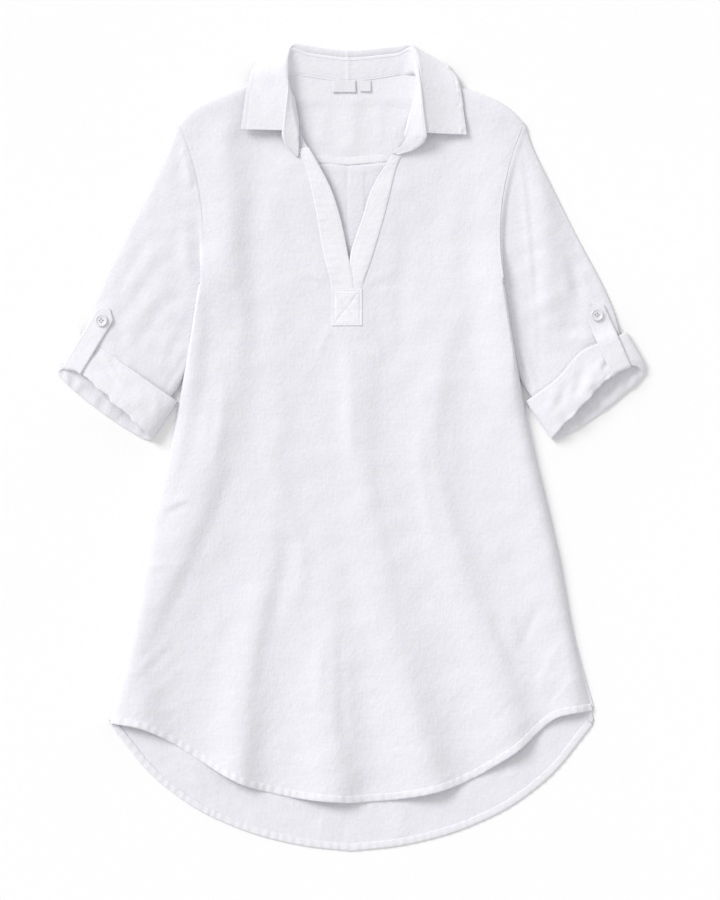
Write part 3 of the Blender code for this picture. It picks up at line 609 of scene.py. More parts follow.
YOKE_CREASES = (
    (0.8, 6, (-30, 352), (-34, 380), (-28, 418)),
    (2.0, 10, (2, 344), (1, 385), (-2, 428)),
    (0.7, 5, (26, 356), (34, 384), (30, 420)),
    (-0.5, 4, (8, 352), (12, 380), (9, 410)),
    (3.2, 26, (88, 330), (86, 390), (80, 450)),
    (0.8, 12, (-140, 370), (-120, 400), (-96, 430)),
    (0.8, 12, (140, 366), (122, 398), (100, 430)),
)


def yoke_top(x, y):
    wrinkled = creases(x, y, YOKE_CREASES) + np.maximum(ripple(x, y, 30, 0.12, 8), -0.1)
    return back_lift(x, y) + BACK_FACE + wrinkled


yoke_along, across = grid(34, 112)
across = 2 * across - 1
side_y = YOKE_SEAM[1] + (SHOULDER_TIP[1] - YOKE_SEAM[1]) * yoke_along
yoke_x = across * half_width(side_y)
top_x = across * SHOULDER_TIP[0]
top_y = np.where(np.abs(top_x) > NECK_POINT[0], shoulder_y(top_x), yoke_end_y(top_x))
yoke_y = yoke_seam_y(yoke_x) + (top_y - yoke_seam_y(yoke_x)) * yoke_along
yoke_points = np.stack([yoke_x, yoke_y, yoke_top(yoke_x, yoke_y)], axis=2)
# the lighter doubled linen here is partly painted light, brightening the yoke where the collar shades it
yoke = cloth("yoke", yoke_points, double_linen, BACK_CLOTH)
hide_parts("back_yoke")

YOKE_BAND = 9.5
seam_linen = linen("seam_linen", (0.815, 0.807, 0.849), (0.865, 0.857, 0.9))
seam_x = np.linspace(-182, 182, 230)
seam_line = np.stack([seam_x, yoke_seam_y(seam_x)], axis=1)
yoke_band = flat_tube(
    "yoke_seam_band", seam_line, seam_line + (0, YOKE_BAND), lambda x, y: back_lift(x, y) + 0.8, 0.9,
    seam_linen, pucker=0.08, seed=21,
)
band_tree = ray_tree(yoke_band)
yoke_sewing = stitches(
    "yoke_stitches", [drop_on(band_tree, seam_line[70:160] + (0, up)) for up in (1.6, 8.2)]
)

# ---- Labels ----
# Two blank woven labels, folded tape sewn in at the back neck. They hang free below their
# seam, so their lower ends lift a little.

TAPE_RIB = 0.5
LABEL_CLOTH = 0.35
LABEL_HANG = 0.9

tape = Finish("label_tape", Roughness=0.6, Specular_IOR_Level=0.4)
tape_cut = tape.node("ShaderNodeUVMap", {"uv_map": "cut"}, {})
tape_axes = [tape.node("ShaderNodeSeparateXYZ", {}, {0: tape_cut}, output=k) for k in (0, 1)]
tape_rib = [(axis * (2 * math.pi / TAPE_RIB / MM)).maths("SINE") for axis in tape_axes]
tape_height = tape_rib[0] * 0.02 + tape_rib[1] * 0.03
tape_bump = tape.node("ShaderNodeBump", {}, {"Strength": 1.0, "Distance": MM, "Height": tape_height})
tape_tone = tape_rib[1] * 0.5 + 0.5
label_finish = tape.feed(
    Base_Color=tape.between(tape_tone, (0.76, 0.76, 0.79), (0.83, 0.83, 0.86)), Normal=tape_bump
)

LABELS = (
    ("label_main", "label_large", -23, 5.5, 439.5, 425),
    ("label_care", "label_small", 10, 23.5, 439.5, 426),
)
for name, node, left, right, top, bottom in LABELS:
    down, across = grid(10, 14)
    label_x = left + (right - left) * across
    label_y = top + (bottom - top) * down
    hang = LABEL_HANG * down**1.6 + 0.25 * np.sin(across * 5 + left) * down
    label_z = yoke_top(label_x, label_y) + 0.75 + hang
    points = np.stack([label_x, label_y, label_z], axis=2)
    label = cloth(name, points, label_finish, LABEL_CLOTH, offset=0.0)
    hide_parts(node)

# ---- Front panel ----
# The front of the dress, cut in one with a slit neck. It lies over the back, full of air,
# with long soft folds from the bust down to the curved hem.

FRONT_HEM = (
    (0, -427), (60, -422), (112, -411), (147, -397), (184, -375),
    (207, -360), (232, -346), (254, -337), (291, -331),
)
# side y, then the placket seam and the slit edge of the left half and of the right half
FRONT_ROWS = (
    (-331, (-32, -426), (-5, -428), (-5, -428), (18, -427)),
    (-170, (-28, -212), (-3, -212), (-3, -212), (15, -212)),
    (10, (-25, -2), (0, -2), (0, -2), (13, -2)),
    (140, (-23, 145), (2, 145), (2, 145), (13, 145)),
    (197, (-24, 190), (2, 190), (2, 190), (13, 190)),
    (236, (-33, 228), (-4.5, 228), (-1, 228), (25, 228)),
    (276, (-41, 272), (-13.5, 272), (13, 272), (38, 272)),
    (312, (-48, 308), (-25, 308), (24.5, 308), (47, 308)),
    (336, (-57, 341), (-41, 340), (43, 340), (56, 341)),
    (356, (-73, 372), (-59, 372), (63, 372), (75, 374)),
    (372, (-85, 407), (-71, 407), (75, 407), (87, 409)),
    (388, (-91, 444), (-78, 446), (78, 446), (91, 444)),
)
FRONT_SPANS = (210, 208, 144, 52, 38, 42, 36, 30, 30, 34, 38)
SLIT_ROW = 4
FRONT_STEP = 3.5
FRONT_CLOTH = 0.8
# the air between front and back at the waist and on the chest, and how much less of it there is
# under the collar's points
WAIST_AIR = 2.4
CHEST_AIR = 2.2
POINT_PRESS = 2.6
COLLAR_POINTS = (-108, 114)
# how far in from the fold edges the front rises, at the sides and where the sleeves lie under it
SIDE_ROLL = 14
TUCKED_ROLL = 3
EDGE_ROLL = 2.6
# how much steeper each long fold falls to its right than to its left
FOLD_RIGHT = 0.82
FOLD_LEFT = 1.2

FOLD_LEVELS = (-420, -260, -130, 0, 130, 250, 380)
# crest, height and width of each long fold at those levels
FOLDS = (
    (
        (-257, -254, -246, -240, -240, -240, -240),
        (13.5, 2.5, 0, 0, 0, 0, 0),
        (27, 24, 16, 16, 16, 16, 16),
    ),
    (
        (-240, -254, -206, -167, -136, -148, -150),
        (1.5, 5.2, 7.2, 6.6, 4.4, 6.2, 1.5),
        (30, 25, 26, 24, 19, 19, 18),
    ),
    (
        (-137, -122, -98, -92, -92, -95, -95),
        (12.5, 6.4, 2.4, 2.2, 1.2, 0.5, 0),
        (19, 16.5, 16, 16, 16, 16, 16),
    ),
    (
        (-20, -24, -28, -34, -40, -40, -40),
        (12, 5.4, 1.4, 0.3, 0, 0, 0),
        (24, 20, 18, 16, 16, 16, 16),
    ),
    (
        (103, 60, 34, 12, 8, 4, 0),
        (12.5, 7, 3.8, 2.3, 1.8, 0, 0),
        (24, 23, 22, 20, 16, 12, 10),
    ),
    (
        (214, 172, 124, 101, 118, 135, 135),
        (12, 6.5, 4.4, 4, 3, 0, 0),
        (22, 20, 18, 17, 16, 18, 18),
    ),
    (
        (268, 262, 244, 217, 193, 187, 170),
        (12, 6, 7, 8, 8, 7, 1.5),
        (15, 19, 26, 27, 27, 27, 20),
    ),
)
FRONT_CREASES = (
    # beside the left side seam and down from the shoulder
    (1.3, 7, (-178, 262), (-184, 176), (-192, 80), (-206, -4), (-220, -70)),
    (-0.8, 6, (-167, 188), (-173, 80), (-185, 20), (-197, -40)),
    (-1.8, 11, (-116, 360), (-118, 300), (-121, 214), (-116, 130), (-118, 60)),
    (-2.0, 8, (-138, 20), (-150, -46), (-186, -130), (-226, -214), (-252, -270)),
    (1.2, 5, (-152, 104), (-157, 20), (-170, -30)),
    (1.0, 4, (-225, -75), (-208, -66), (-190, -60)),
    (-1.2, 3.2, (-228, -84), (-206, -72), (-192, -66)),
    (0.9, 4, (-248, -142), (-232, -142), (-216, -136)),
    (0.6, 3.4, (-262, -272), (-238, -250), (-214, -224)),
    (-0.6, 3, (-262, -286), (-236, -262), (-206, -232)),
    (0.5, 3, (-256, -300), (-226, -284), (-190, -252)),
    (-0.5, 3, (-250, -312), (-216, -296), (-182, -266)),
    (0.5, 3.4, (-240, -322), (-206, -310), (-170, -290)),
    # left half, down to the hem
    (-1.2, 7, (-86, -60), (-80, -130), (-90, -190), (-106, -250), (-118, -330)),
    (0.9, 5, (-62, -96), (-60, -150), (-66, -200)),
    (-1.3, 5, (-16, -206), (-12, -260), (-12, -320), (-4, -380)),
    (1.0, 5, (-34, -216), (-38, -270), (-42, -330)),
    (-0.3, 2.4, (-118, -110), (-64, -114), (-36, -112)),
    # below the box and down the right half
    (1.9, 7, (-5, 138), (-3, 90), (-1, 30), (3, -40)),
    (1.6, 12, (8, 130), (12, 70), (14, 0), (20, -80)),
    (-0.6, 6, (24, 60), (30, -20), (40, -90), (58, -180), (80, -270)),
    (0.9, 5, (78, 40), (88, -60), (104, -140)),
    (-1.0, 7, (130, 156), (114, 60), (110, -10), (122, -60), (146, -140)),
    (-1.2, 5, (166, -190), (180, -230), (202, -272)),
    (0.9, 4.4, (182, -180), (196, -226), (214, -262)),
    (-0.9, 4, (232, -180), (214, -214), (200, -250)),
    (1.0, 4, (250, -230), (236, -262), (222, -300)),
    (-0.9, 4, (262, -262), (246, -290), (232, -318)),
    # right chest, from the collar to the bust
    (1.4, 12, (128, 320), (118, 240), (116, 170)),
    (-1.4, 9, (72, 300), (64, 230), (58, 150), (62, 80)),
    (-1.2, 9, (150, 400), (148, 370), (158, 330)),
    (1.3, 9, (-152, 396), (-150, 370), (-160, 330)),
    (1.8, 5, (-60, 368), (-46, 347), (-27, 319), (-12, 290)),
    # drag lines at the box
    (0.7, 3, (-26, 196), (-44, 206), (-66, 210)),
    (-0.5, 2.6, (-26, 188), (-46, 196), (-70, 198)),
    (0.6, 3, (16, 194), (36, 206), (60, 214)),
    (-0.5, 2.6, (16, 186), (40, 194), (66, 196)),
    (0.6, 3, (-22, 146), (-34, 128), (-40, 104)),
    (0.6, 3, (14, 146), (28, 130), (36, 104)),
)


def front_hem_y(x):
    return curve(*zip(*FRONT_HEM), np.abs(x)) + 15 * ease(195, 250, x)


def from_fold_edge(x, y):
    """Distance in from the side seam or the shoulder line, where front and back meet."""
    far = np.full_like(x, 1e6)
    side = np.where(y < UNDERARM[1], half_width(np.minimum(y, UNDERARM[1])) - np.abs(x), far)
    shoulder = np.where(np.abs(x) > NECK_POINT[0], shoulder_y(x) - y, far)
    corners = [np.hypot(np.abs(x) - cx, y - cy) for cx, cy in (SHOULDER_TIP, UNDERARM, NECK_POINT)]
    return np.maximum(np.minimum.reduce([side, shoulder, *corners]), 0)


def long_folds(x, y):
    total = 0
    for crest, height, width in FOLDS:
        off = x - curve(FOLD_LEVELS, crest, y)
        wide = curve(FOLD_LEVELS, width, y) * np.where(off > 0, FOLD_RIGHT, FOLD_LEFT)
        total = total + np.maximum(curve(FOLD_LEVELS, height, y), 0) * bell(off, wide)
    return total


def front_top(x, y):
    """The upper surface of the front, over the back and the sleeves tucked under it."""
    pleat = ease(23, 18, np.abs(x - CENTRE_BACK)) * pleat_open(y)
    clear = ease(0, 45, y - front_hem_y(x))
    under = back_lift(x, y) + 1.0 + np.maximum(0.6 * clear, pleat)
    from_edge = from_fold_edge(x, y)
    reach = SIDE_ROLL + (TUCKED_ROLL - SIDE_ROLL) * ease(60, 120, y) * ease(230, 206, y)
    roll = np.sqrt(1 - (1 - np.minimum(from_edge / reach, 1)) ** 2)
    pressed = sum(np.exp(-(((x - px) / 34) ** 2 + ((y - 366) / 26) ** 2)) for px in COLLAR_POINTS)
    air = WAIST_AIR * ease(-430, -200, y) - POINT_PRESS * pressed
    air = air + CHEST_AIR * ease(230, 330, y) * ease(110, 60, np.abs(x))
    shaped = long_folds(x, y) + creases(x, y, FRONT_CREASES)
    shaped = shaped + ripple(x, y, 34, 0.16, 31) + ripple(x, y, 90, 0.28, 32)
    shaped = shaped + ripple(x, y, 12, 1, 33) * (0.04 + 0.08 * ease(-180, -340, y))
    top = under + 0.3 + 0.8 * clear + roll * (air + shaped)
    edge = np.sqrt(1 - (1 - np.minimum(from_edge / EDGE_ROLL, 1)) ** 2)
    closed = back_lift(x, y) + BACK_FACE
    return closed + (np.maximum(top, under + 0.2) - closed) * edge


front_at = np.insert(spaced(FRONT_SPANS, FRONT_STEP), -1, 10.975)


def front_half(sign):
    """Plan points of one half of the front: rows from the hem up, columns from side to slit."""
    near = np.array([0, 0.3, 0.8, 1.5, 2.4, 3.6, 5.4, 8]) / 250
    shares = np.concatenate([near, np.linspace(near[-1], 1, 68)[1:]])[:, None]
    side_y, left_seam, left_edge, right_edge, right_seam = columns_at(FRONT_ROWS, front_at)
    side = np.stack([sign * half_width(side_y), side_y], axis=1)[:, None]
    seam, edge = (left_seam, left_edge) if sign < 0 else (right_seam, right_edge)
    seam = seam[:, None]
    shared = (left_edge + right_edge) / 2
    edge = np.where((front_at <= SLIT_ROW)[:, None], shared, edge)[:, None]
    body = side * (1 - shares) + seam * shares
    placket = seam + (edge - seam) * np.linspace(0, 1, 8)[1:, None]
    hem = np.maximum(1 - front_at / 3, 0)[:, None] ** 2
    top = np.maximum(1 - (len(FRONT_ROWS) - 1 - front_at) / 4, 0)[:, None] ** 2
    hem_gap = front_hem_y(body[0, :, 0]) - body[0, :, 1]
    top_gap = shoulder_y(body[-1, :, 0]) - body[-1, :, 1]
    body[..., 1] += hem * hem_gap + top * top_gap
    return np.concatenate([body, placket], axis=1)


def with_height(plan, top):
    return np.concatenate([plan, top(plan[..., 0], plan[..., 1])[..., None]], axis=2)


front_plan = np.concatenate([front_half(-1), front_half(1)[:, ::-1]], axis=1)
left_columns = front_plan.shape[1] // 2
hem_in = 3.0 * np.maximum(1 - front_at / 0.4, 0)
front_plan[..., 1] += hem_in[:, None]
front_points = with_height(front_plan, front_top)


def open_slit(made, columns, first_open):
    """Takes out the strip of cells between the two halves where the slit is open."""
    bm = bmesh.new()
    bm.from_mesh(made.data)
    bm.verts.ensure_lookup_table()
    wide = 2 * columns
    gone = []
    for face in bm.faces:
        places = [divmod(vert.index, wide) for vert in face.verts]
        across = {column for _, column in places}
        if across == {columns - 1, columns} and min(row for row, _ in places) >= first_open:
            gone.append(face)
    bmesh.ops.delete(bm, geom=gone, context="FACES_ONLY")
    bmesh.ops.remove_doubles(bm, verts=bm.verts, dist=SAME_PLACE * MM)
    bm.to_mesh(made.data)
    bm.free()


front_panel = cloth("front_panel", front_points, single_linen, FRONT_CLOTH)
open_slit(front_panel, left_columns, int(np.searchsorted(front_at, SLIT_ROW)))
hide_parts("front")

# ---- Front hem and side seams ----
# The front's lower edge has the same turned and puckered hem. At the sides front and back are
# sewn together, and the pressed seam shows as a fine edge on the right.


def under_front_hem(x, y):
    inside = half_width(np.clip(y, SIDE_SEAM[0][0], 400)) - 1.5
    return front_top(np.clip(x, -inside, inside), y) - 1.2


front_hem, front_hem_sewing = sewn_hem(
    "front_hem", front_hem_y, 286.5, under_front_hem, 0.48, 12
)

SEAM_WIDTH = 4.2
for name, sign in (("side_seam_left", -1), ("side_seam_right", 1)):
    seam_y = np.linspace(-329 if sign < 0 else -313, 200, 265)
    beyond = 2.2 * ease(-316, -290, seam_y) * ease(60, -60, seam_y) + 0.2 if sign > 0 else 0.2
    outer = np.stack([sign * (half_width(seam_y) + beyond), seam_y], axis=1)
    inner = outer - (sign * SEAM_WIDTH, 0)
    seam = flat_tube(
        name, outer, inner, lambda x, y: back_lift(x, y) + 0.1, 1.5, double_linen,
        pucker=0.22, seed=13 + sign, around=8,
    )

# ---- Plackets and box ----
# Strips of doubled linen that face the slit, turned under and stitched along both edges, and
# the box that closes them below, edge-stitched with a cross.


PLACKET_CLOTH = 1.5


def on_front(x, y):
    return front_top(x, y) + 0.05


_, *placket_lines = columns_at(FRONT_ROWS, np.linspace(SLIT_ROW - 0.06, 8.6, 122))
for name, node, sign, lift, pucker in (
    ("placket_strip_right", "placket_right", 1, 0.0, 0.16),
    ("placket_strip_left", "placket_left", -1, 0.5, 0.26),
):
    seam, edge = placket_lines[:2] if sign < 0 else placket_lines[:1:-1]
    edge = edge + (sign * -1.0, 0)

    def under_strip(x, y, lift=lift):
        return on_front(x, y) + lift * ease(250, 215, y) - 0.3 - ease(203, 189, y)

    strip = flat_tube(
        name, seam, edge, under_strip, PLACKET_CLOTH, seam_linen,
        pucker=pucker, period=9.5, seed=40 + sign, around=22, inner=0.22,
    )
    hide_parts(node)
    strip_tree = ray_tree(strip)
    lines = [drop_on(strip_tree, seam + (edge - seam) * share) for share in (0.10, 0.90)]
    sewing = stitches(name + "_stitches", lines, seed=42 + sign)

BOX = (-23.6, 12.8, 145, 190)  # left, right, foot and top
BOX_SEAM_IN = 2.8
left, right, foot, top = np.add(BOX, (BOX_SEAM_IN, -BOX_SEAM_IN, BOX_SEAM_IN, -BOX_SEAM_IN))
corners = [(left, foot), (right, foot), (right, top), (left, top)]
box_cross = [(corners[0], corners[2]), (corners[3], corners[1])]
box_seams = [*zip(corners, corners[1:] + corners[:1]), *box_cross]


def straight(a, b, count=16):
    share = np.linspace(0, 1, count)[:, None]
    return np.array(a) * (1 - share) + np.array(b) * share


def under_box(x, y):
    """The front under the box, drawn down along the seams that cross it."""
    drawn = np.zeros_like(x)
    for a, b in box_seams:
        drawn = np.maximum(drawn, bell(from_segment(x, y, a, b)[1], 1.1))
    return on_front(x, y) - 0.4 - 0.5 * drawn


box_left, box_right = (straight((x, BOX[2]), (x, BOX[3]), 60) for x in BOX[:2])
box = flat_tube(
    "box_cloth", box_left, box_right, under_box, 1.7, seam_linen,
    pucker=0.1, period=12, seed=50, around=96,
)
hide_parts("placket_box")
box_tree = ray_tree(box)
box_lines = [straight(a, b) for a, b in box_seams]
box_sewing = stitches("box_stitches", [drop_on(box_tree, line) for line in box_lines], pitch=2.9)

# ---- Sleeves ----
# Set-in linen sleeves, each a tube that lies flattened beside the body with its underarm edge
# tucked beneath it, creased by the pull of the rolled cuff.

# outer and inner edge of the tube, its height and its height above the floor, right side
SLEEVE_ROWS = (
    ((207, 388), (183, 197), 6.4, 0),
    ((218, 357), (180, 176), 6.4, 0),
    ((244, 304), (182, 148), 6.6, 0),
    ((271, 250), (187, 120), 6.8, 0),
    ((298, 200), (198, 90), 7.4, 0),
    ((313.5, 165), (208, 71), 8.2, 0.6),
    ((320.5, 139), (216, 60.5), 7.4, 2.7),
    ((325, 127), (222.5, 52), 7.0, 2.7),
)
SLEEVE_SPANS = (34, 58, 58, 56, 38, 26, 13)
SLEEVE_STEP = 3.4
SLEEVE_AROUND = 104
SLEEVE_WAY = (0.34, -0.94)
SLEEVE_RIM = 1.9
SLEEVE_CLOTH = 0.7
ARMHOLE_TURN = 2.8
LEFT_NARROWER = 3.0
LEFT_SLEEVE_CREASES = (
    (-1.0, 4.5, (-204, 196), (-244, 140), (-270, 110)),
    (0.9, 5.5, (-212, 214), (-250, 160), (-280, 122)),
    (-0.9, 4.5, (-214, 232), (-262, 176), (-284, 140)),
    (0.8, 5.5, (-222, 250), (-262, 200), (-290, 168)),
    (-0.8, 5, (-230, 268), (-262, 216), (-286, 174)),
    (0.8, 6, (-190, 180), (-222, 120), (-240, 78)),
    (-0.8, 4.5, (-196, 160), (-214, 122), (-226, 88)),
    (-0.8, 6, (-210, 372), (-206, 330), (-200, 270)),
    (0.7, 6, (-196, 300), (-200, 250), (-196, 196)),
    (-0.7, 6, (-236, 330), (-254, 280), (-266, 232)),
    (0.7, 6, (-226, 340), (-246, 290), (-262, 250)),
    (0.7, 5, (-250, 120), (-262, 106), (-278, 100)),
    (-1.2, 5, (-288, 152), (-279, 138), (-270, 122)),
    (-0.8, 2.4, (-230, 58), (-212, 86), (-192, 120)),
    (0.9, 5, (-220, 58), (-203, 86), (-186, 114)),
    (1.6, 7, (-200, 262), (-190, 210), (-188, 160)),
    (2.4, 20, (-184, 130), (-202, 88), (-222, 60)),
    (1.5, 2.2, (-192, 366), (-199, 356), (-206, 347)),
    (1.7, 2.4, (-189, 354), (-196, 343), (-203, 331)),
    (1.5, 2.1, (-187, 342), (-193, 333), (-200, 323)),
    (1.2, 2.2, (-185, 331), (-191, 322), (-197, 310)),
)
RIGHT_SLEEVE_CREASES = (
    (4.4, 13, (218, 372), (228, 300), (236, 220), (236, 150), (228, 110)),
    (-1.5, 8, (240, 340), (262, 270), (276, 200), (270, 150)),
    (0.9, 2.8, (197, 380), (207, 300), (216, 199), (220, 121), (226, 70)),
    (-0.6, 3, (202, 380), (212, 300), (221, 199), (225, 121), (231, 70)),
    (-1.0, 2, (197, 124), (206, 92), (217, 60)),
    (1.2, 3.5, (203, 124), (212, 92), (222, 60)),
    (1.2, 5, (236, 300), (254, 232), (262, 160)),
    (-1.4, 5, (238, 284), (262, 214), (276, 168)),
    (1.1, 4.5, (250, 282), (274, 222), (290, 176)),
    (-1.1, 4.5, (254, 268), (284, 206), (300, 168)),
    (1.0, 4, (262, 266), (290, 212), (306, 176)),
    (1.4, 6, (262, 140), (276, 128), (290, 132)),
    (-1.2, 5, (248, 150), (262, 140), (282, 146)),
    (-1.0, 5, (222, 232), (216, 168), (218, 104)),
)
HIDDEN_CREASES = (
    (1.1, 9, (196, 240), (222, 170), (250, 112)),
    (1.0, 8, (214, 320), (240, 240), (270, 170)),
    (0.9, 7, (196, 170), (214, 120), (236, 80)),
)


def flattened_rings(rows, spans, step, around):
    """Places along a table of rings, angles round them, and the table's columns there."""
    at = spaced(spans, step)
    return at, np.linspace(0, 2 * math.pi, around + 1), columns_at(rows, at)


def ring_plan(outer, inner, angle):
    """Plan places round flattened tubes, from the outer edge over the top to the inner edge."""
    place = (1 - np.cos(angle)) / 2
    x = outer[:, :1] * (1 - place) + inner[:, :1] * place
    y = outer[:, 1:] * (1 - place) + inner[:, 1:] * place
    return x, y, place


sleeves = {}
for hand, sign, sleeve_creases in (
    ("left", -1, LEFT_SLEEVE_CREASES),
    ("right", 1, RIGHT_SLEEVE_CREASES),
):
    rings = flattened_rings(SLEEVE_ROWS, SLEEVE_SPANS, SLEEVE_STEP, SLEEVE_AROUND)
    at, angle, (outer, inner, height, lowest) = rings
    armhole = np.maximum(1 - at, 0)
    outer[:, 0] += armhole - (LEFT_NARROWER * ease(3, 4.5, at) if sign < 0 else 0)
    inner[:, 0] += armhole
    x, y, place = ring_plan(outer, inner, angle)
    x = x - (ARMHOLE_DEPTH * armhole)[:, None] * 4 * place * (1 - place)
    swing = np.sin(angle)[None, :]
    upper = np.maximum(swing, 0)
    wrinkles = creases(sign * x, y, sleeve_creases) + ripple(x, y, 28, 0.22, 60 + sign)
    hidden = creases(x, y, HIDDEN_CREASES) + np.maximum(ripple(x, y, 34, 0.2, 62), 0)
    high = SLEEVE_RIM + (height[:, None] - SLEEVE_RIM) * upper + wrinkles * np.minimum(upper * 1.6, 1)
    on_floor = lowest[:, None] < 0.3
    low = SLEEVE_RIM * (1 - np.minimum(-swing, 1)) ** 3
    low = low + hidden * np.minimum(-swing * 1.6, 1) * on_floor
    z = lowest[:, None] + np.where(swing >= 0, np.maximum(high, 1.2), np.maximum(low, 0))
    # at the armhole the upper side meets the front and is turned in under it
    seam_share = ease(0.3, 0.06, at)[:, None] * np.minimum(upper * 8, 1)
    at_body = front_top(np.clip(x - 2.5, -400, half_width(y) - 1.5) * sign, y) - 0.5
    z = z * (1 - seam_share) + np.minimum(at_body, 18) * seam_share
    x = x - ARMHOLE_TURN * ease(0.14, 0, at)[:, None] * np.minimum(upper * 30, 1)
    points = np.stack([sign * x, y, z], axis=2)
    across = (x - outer[:, :1]) * SLEEVE_WAY[1] - (y - outer[:, 1:]) * SLEEVE_WAY[0]
    along = x * SLEEVE_WAY[0] + y * SLEEVE_WAY[1]
    cut = np.stack([np.where(swing >= 0, 1, -1) * across, along], axis=2)
    name = "sleeve_cloth_" + hand
    sleeve = cloth(name, points, single_linen, SLEEVE_CLOTH, cut=cut, closed=True)
    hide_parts("sleeve_" + hand)
    sleeves[hand] = sleeve

# ---- Armhole seams ----
# Each sleeve is sewn into its armhole with the turnings pressed towards the body and held by a
# line of topstitching beside the seam.

ARMHOLE_STITCH_IN = 4.5
front_tree = ray_tree(front_panel)
for hand, sign in (("left", -1), ("right", 1)):
    seam_y = np.linspace(206, 380, 90)
    seam_x = sign * (half_width(seam_y) - ARMHOLE_STITCH_IN)
    line = drop_on(front_tree, np.stack([seam_x, seam_y], axis=1))
    sewing = stitches("armhole_stitches_" + hand, [line], seed=70 + sign)

# ---- Cuffs ----
# The sleeve end turned back on itself as a broad doubled cuff. Its fold makes the mouth, where
# the under side shows, and its free edge lies round the sleeve.

# outer and inner edge, height, and how far the upper lip lies back and the lower one out
CUFF_ROWS = (
    ((329, 138), (209, 55), 11.6, 0, 0),
    ((340.5, 119), (219, 40), 14.8, 3, 2),
    ((350.5, 101), (228, 27), 16.5, 8, 5),
    ((351.5, 91), (240, 9.5), 16.5, 12, 8),
)
CUFF_SPANS = (23, 20, 16)
CUFF_STEP = 2.6
CUFF_AROUND = 132
# how much taller the cuff is at its inner end, how its upper lip lies back along the mouth, and
# how far the lip swells out at its middle
CUFF_SHAPES = {
    "left": (0.85, (0.7, 1.9, 3), 0),
    "right": (-0.1, (0.8, 2.6, 2.4), 12),
}
MOUTH_WAY = (0.62, -0.785)
CUFF_RIM = 3.2
CUFF_CLOTH = 0.7
LIP_RADIUS = 1.1
LIP_BEYOND = 1.3
LIP_STEPS = 6
INSIDE_ROWS = 19
INSIDE_TAPER = 3.2
CUFF_CREASES = {
    "left": (
        (-0.9, 2.2, (-304, 100), (-294, 92), (-283, 78), (-276, 66)),
        (0.8, 2.6, (-300, 106), (-287, 94), (-278, 80)),
        (-0.7, 2.2, (-288, 110), (-284, 100), (-277, 86)),
        (0.6, 3, (-272, 60), (-262, 52), (-254, 48)),
        (-0.9, 3, (-270, 50), (-260, 42), (-250, 26)),
        (0.7, 4, (-236, 62), (-232, 50), (-238, 34)),
    ),
    "right": (
        (1.8, 4.5, (284, 100), (288, 82), (276, 66)),
        (-1.6, 4, (274, 96), (272, 74), (262, 58)),
        (1.3, 5, (250, 72), (240, 54), (232, 38)),
        (-1.2, 4, (262, 84), (252, 60), (244, 42)),
        (1.4, 4, (296, 96), (300, 82), (292, 72)),
        (-1.6, 2.2, (308, 104), (303, 98), (300, 89)),
        (1.5, 3, (303, 106), (298, 98), (295, 87)),
    ),
}
MOUTH_CREASES = {
    "left": (
        (1.5, 3, (-346, 92), (-341, 84), (-338, 70)),
        (2.0, 4, (-334, 62), (-327, 74), (-322, 82)),
        (1.5, 4, (-312, 46), (-304, 60), (-300, 68)),
        (1.8, 4, (-296, 34), (-290, 48), (-286, 56)),
        (-1.3, 3, (-286, 28), (-274, 38), (-266, 46)),
        (1.4, 4, (-258, 12), (-252, 24), (-246, 30)),
    ),
    "right": (
        (1.7, 3, (346, 90), (338, 82), (334, 68)),
        (1.8, 4, (330, 62), (322, 72), (318, 82)),
        (1.5, 4, (306, 44), (298, 56), (292, 66)),
        (-1.3, 3, (290, 32), (282, 44), (276, 54)),
        (1.5, 4, (270, 20), (262, 32), (256, 40)),
    ),
}

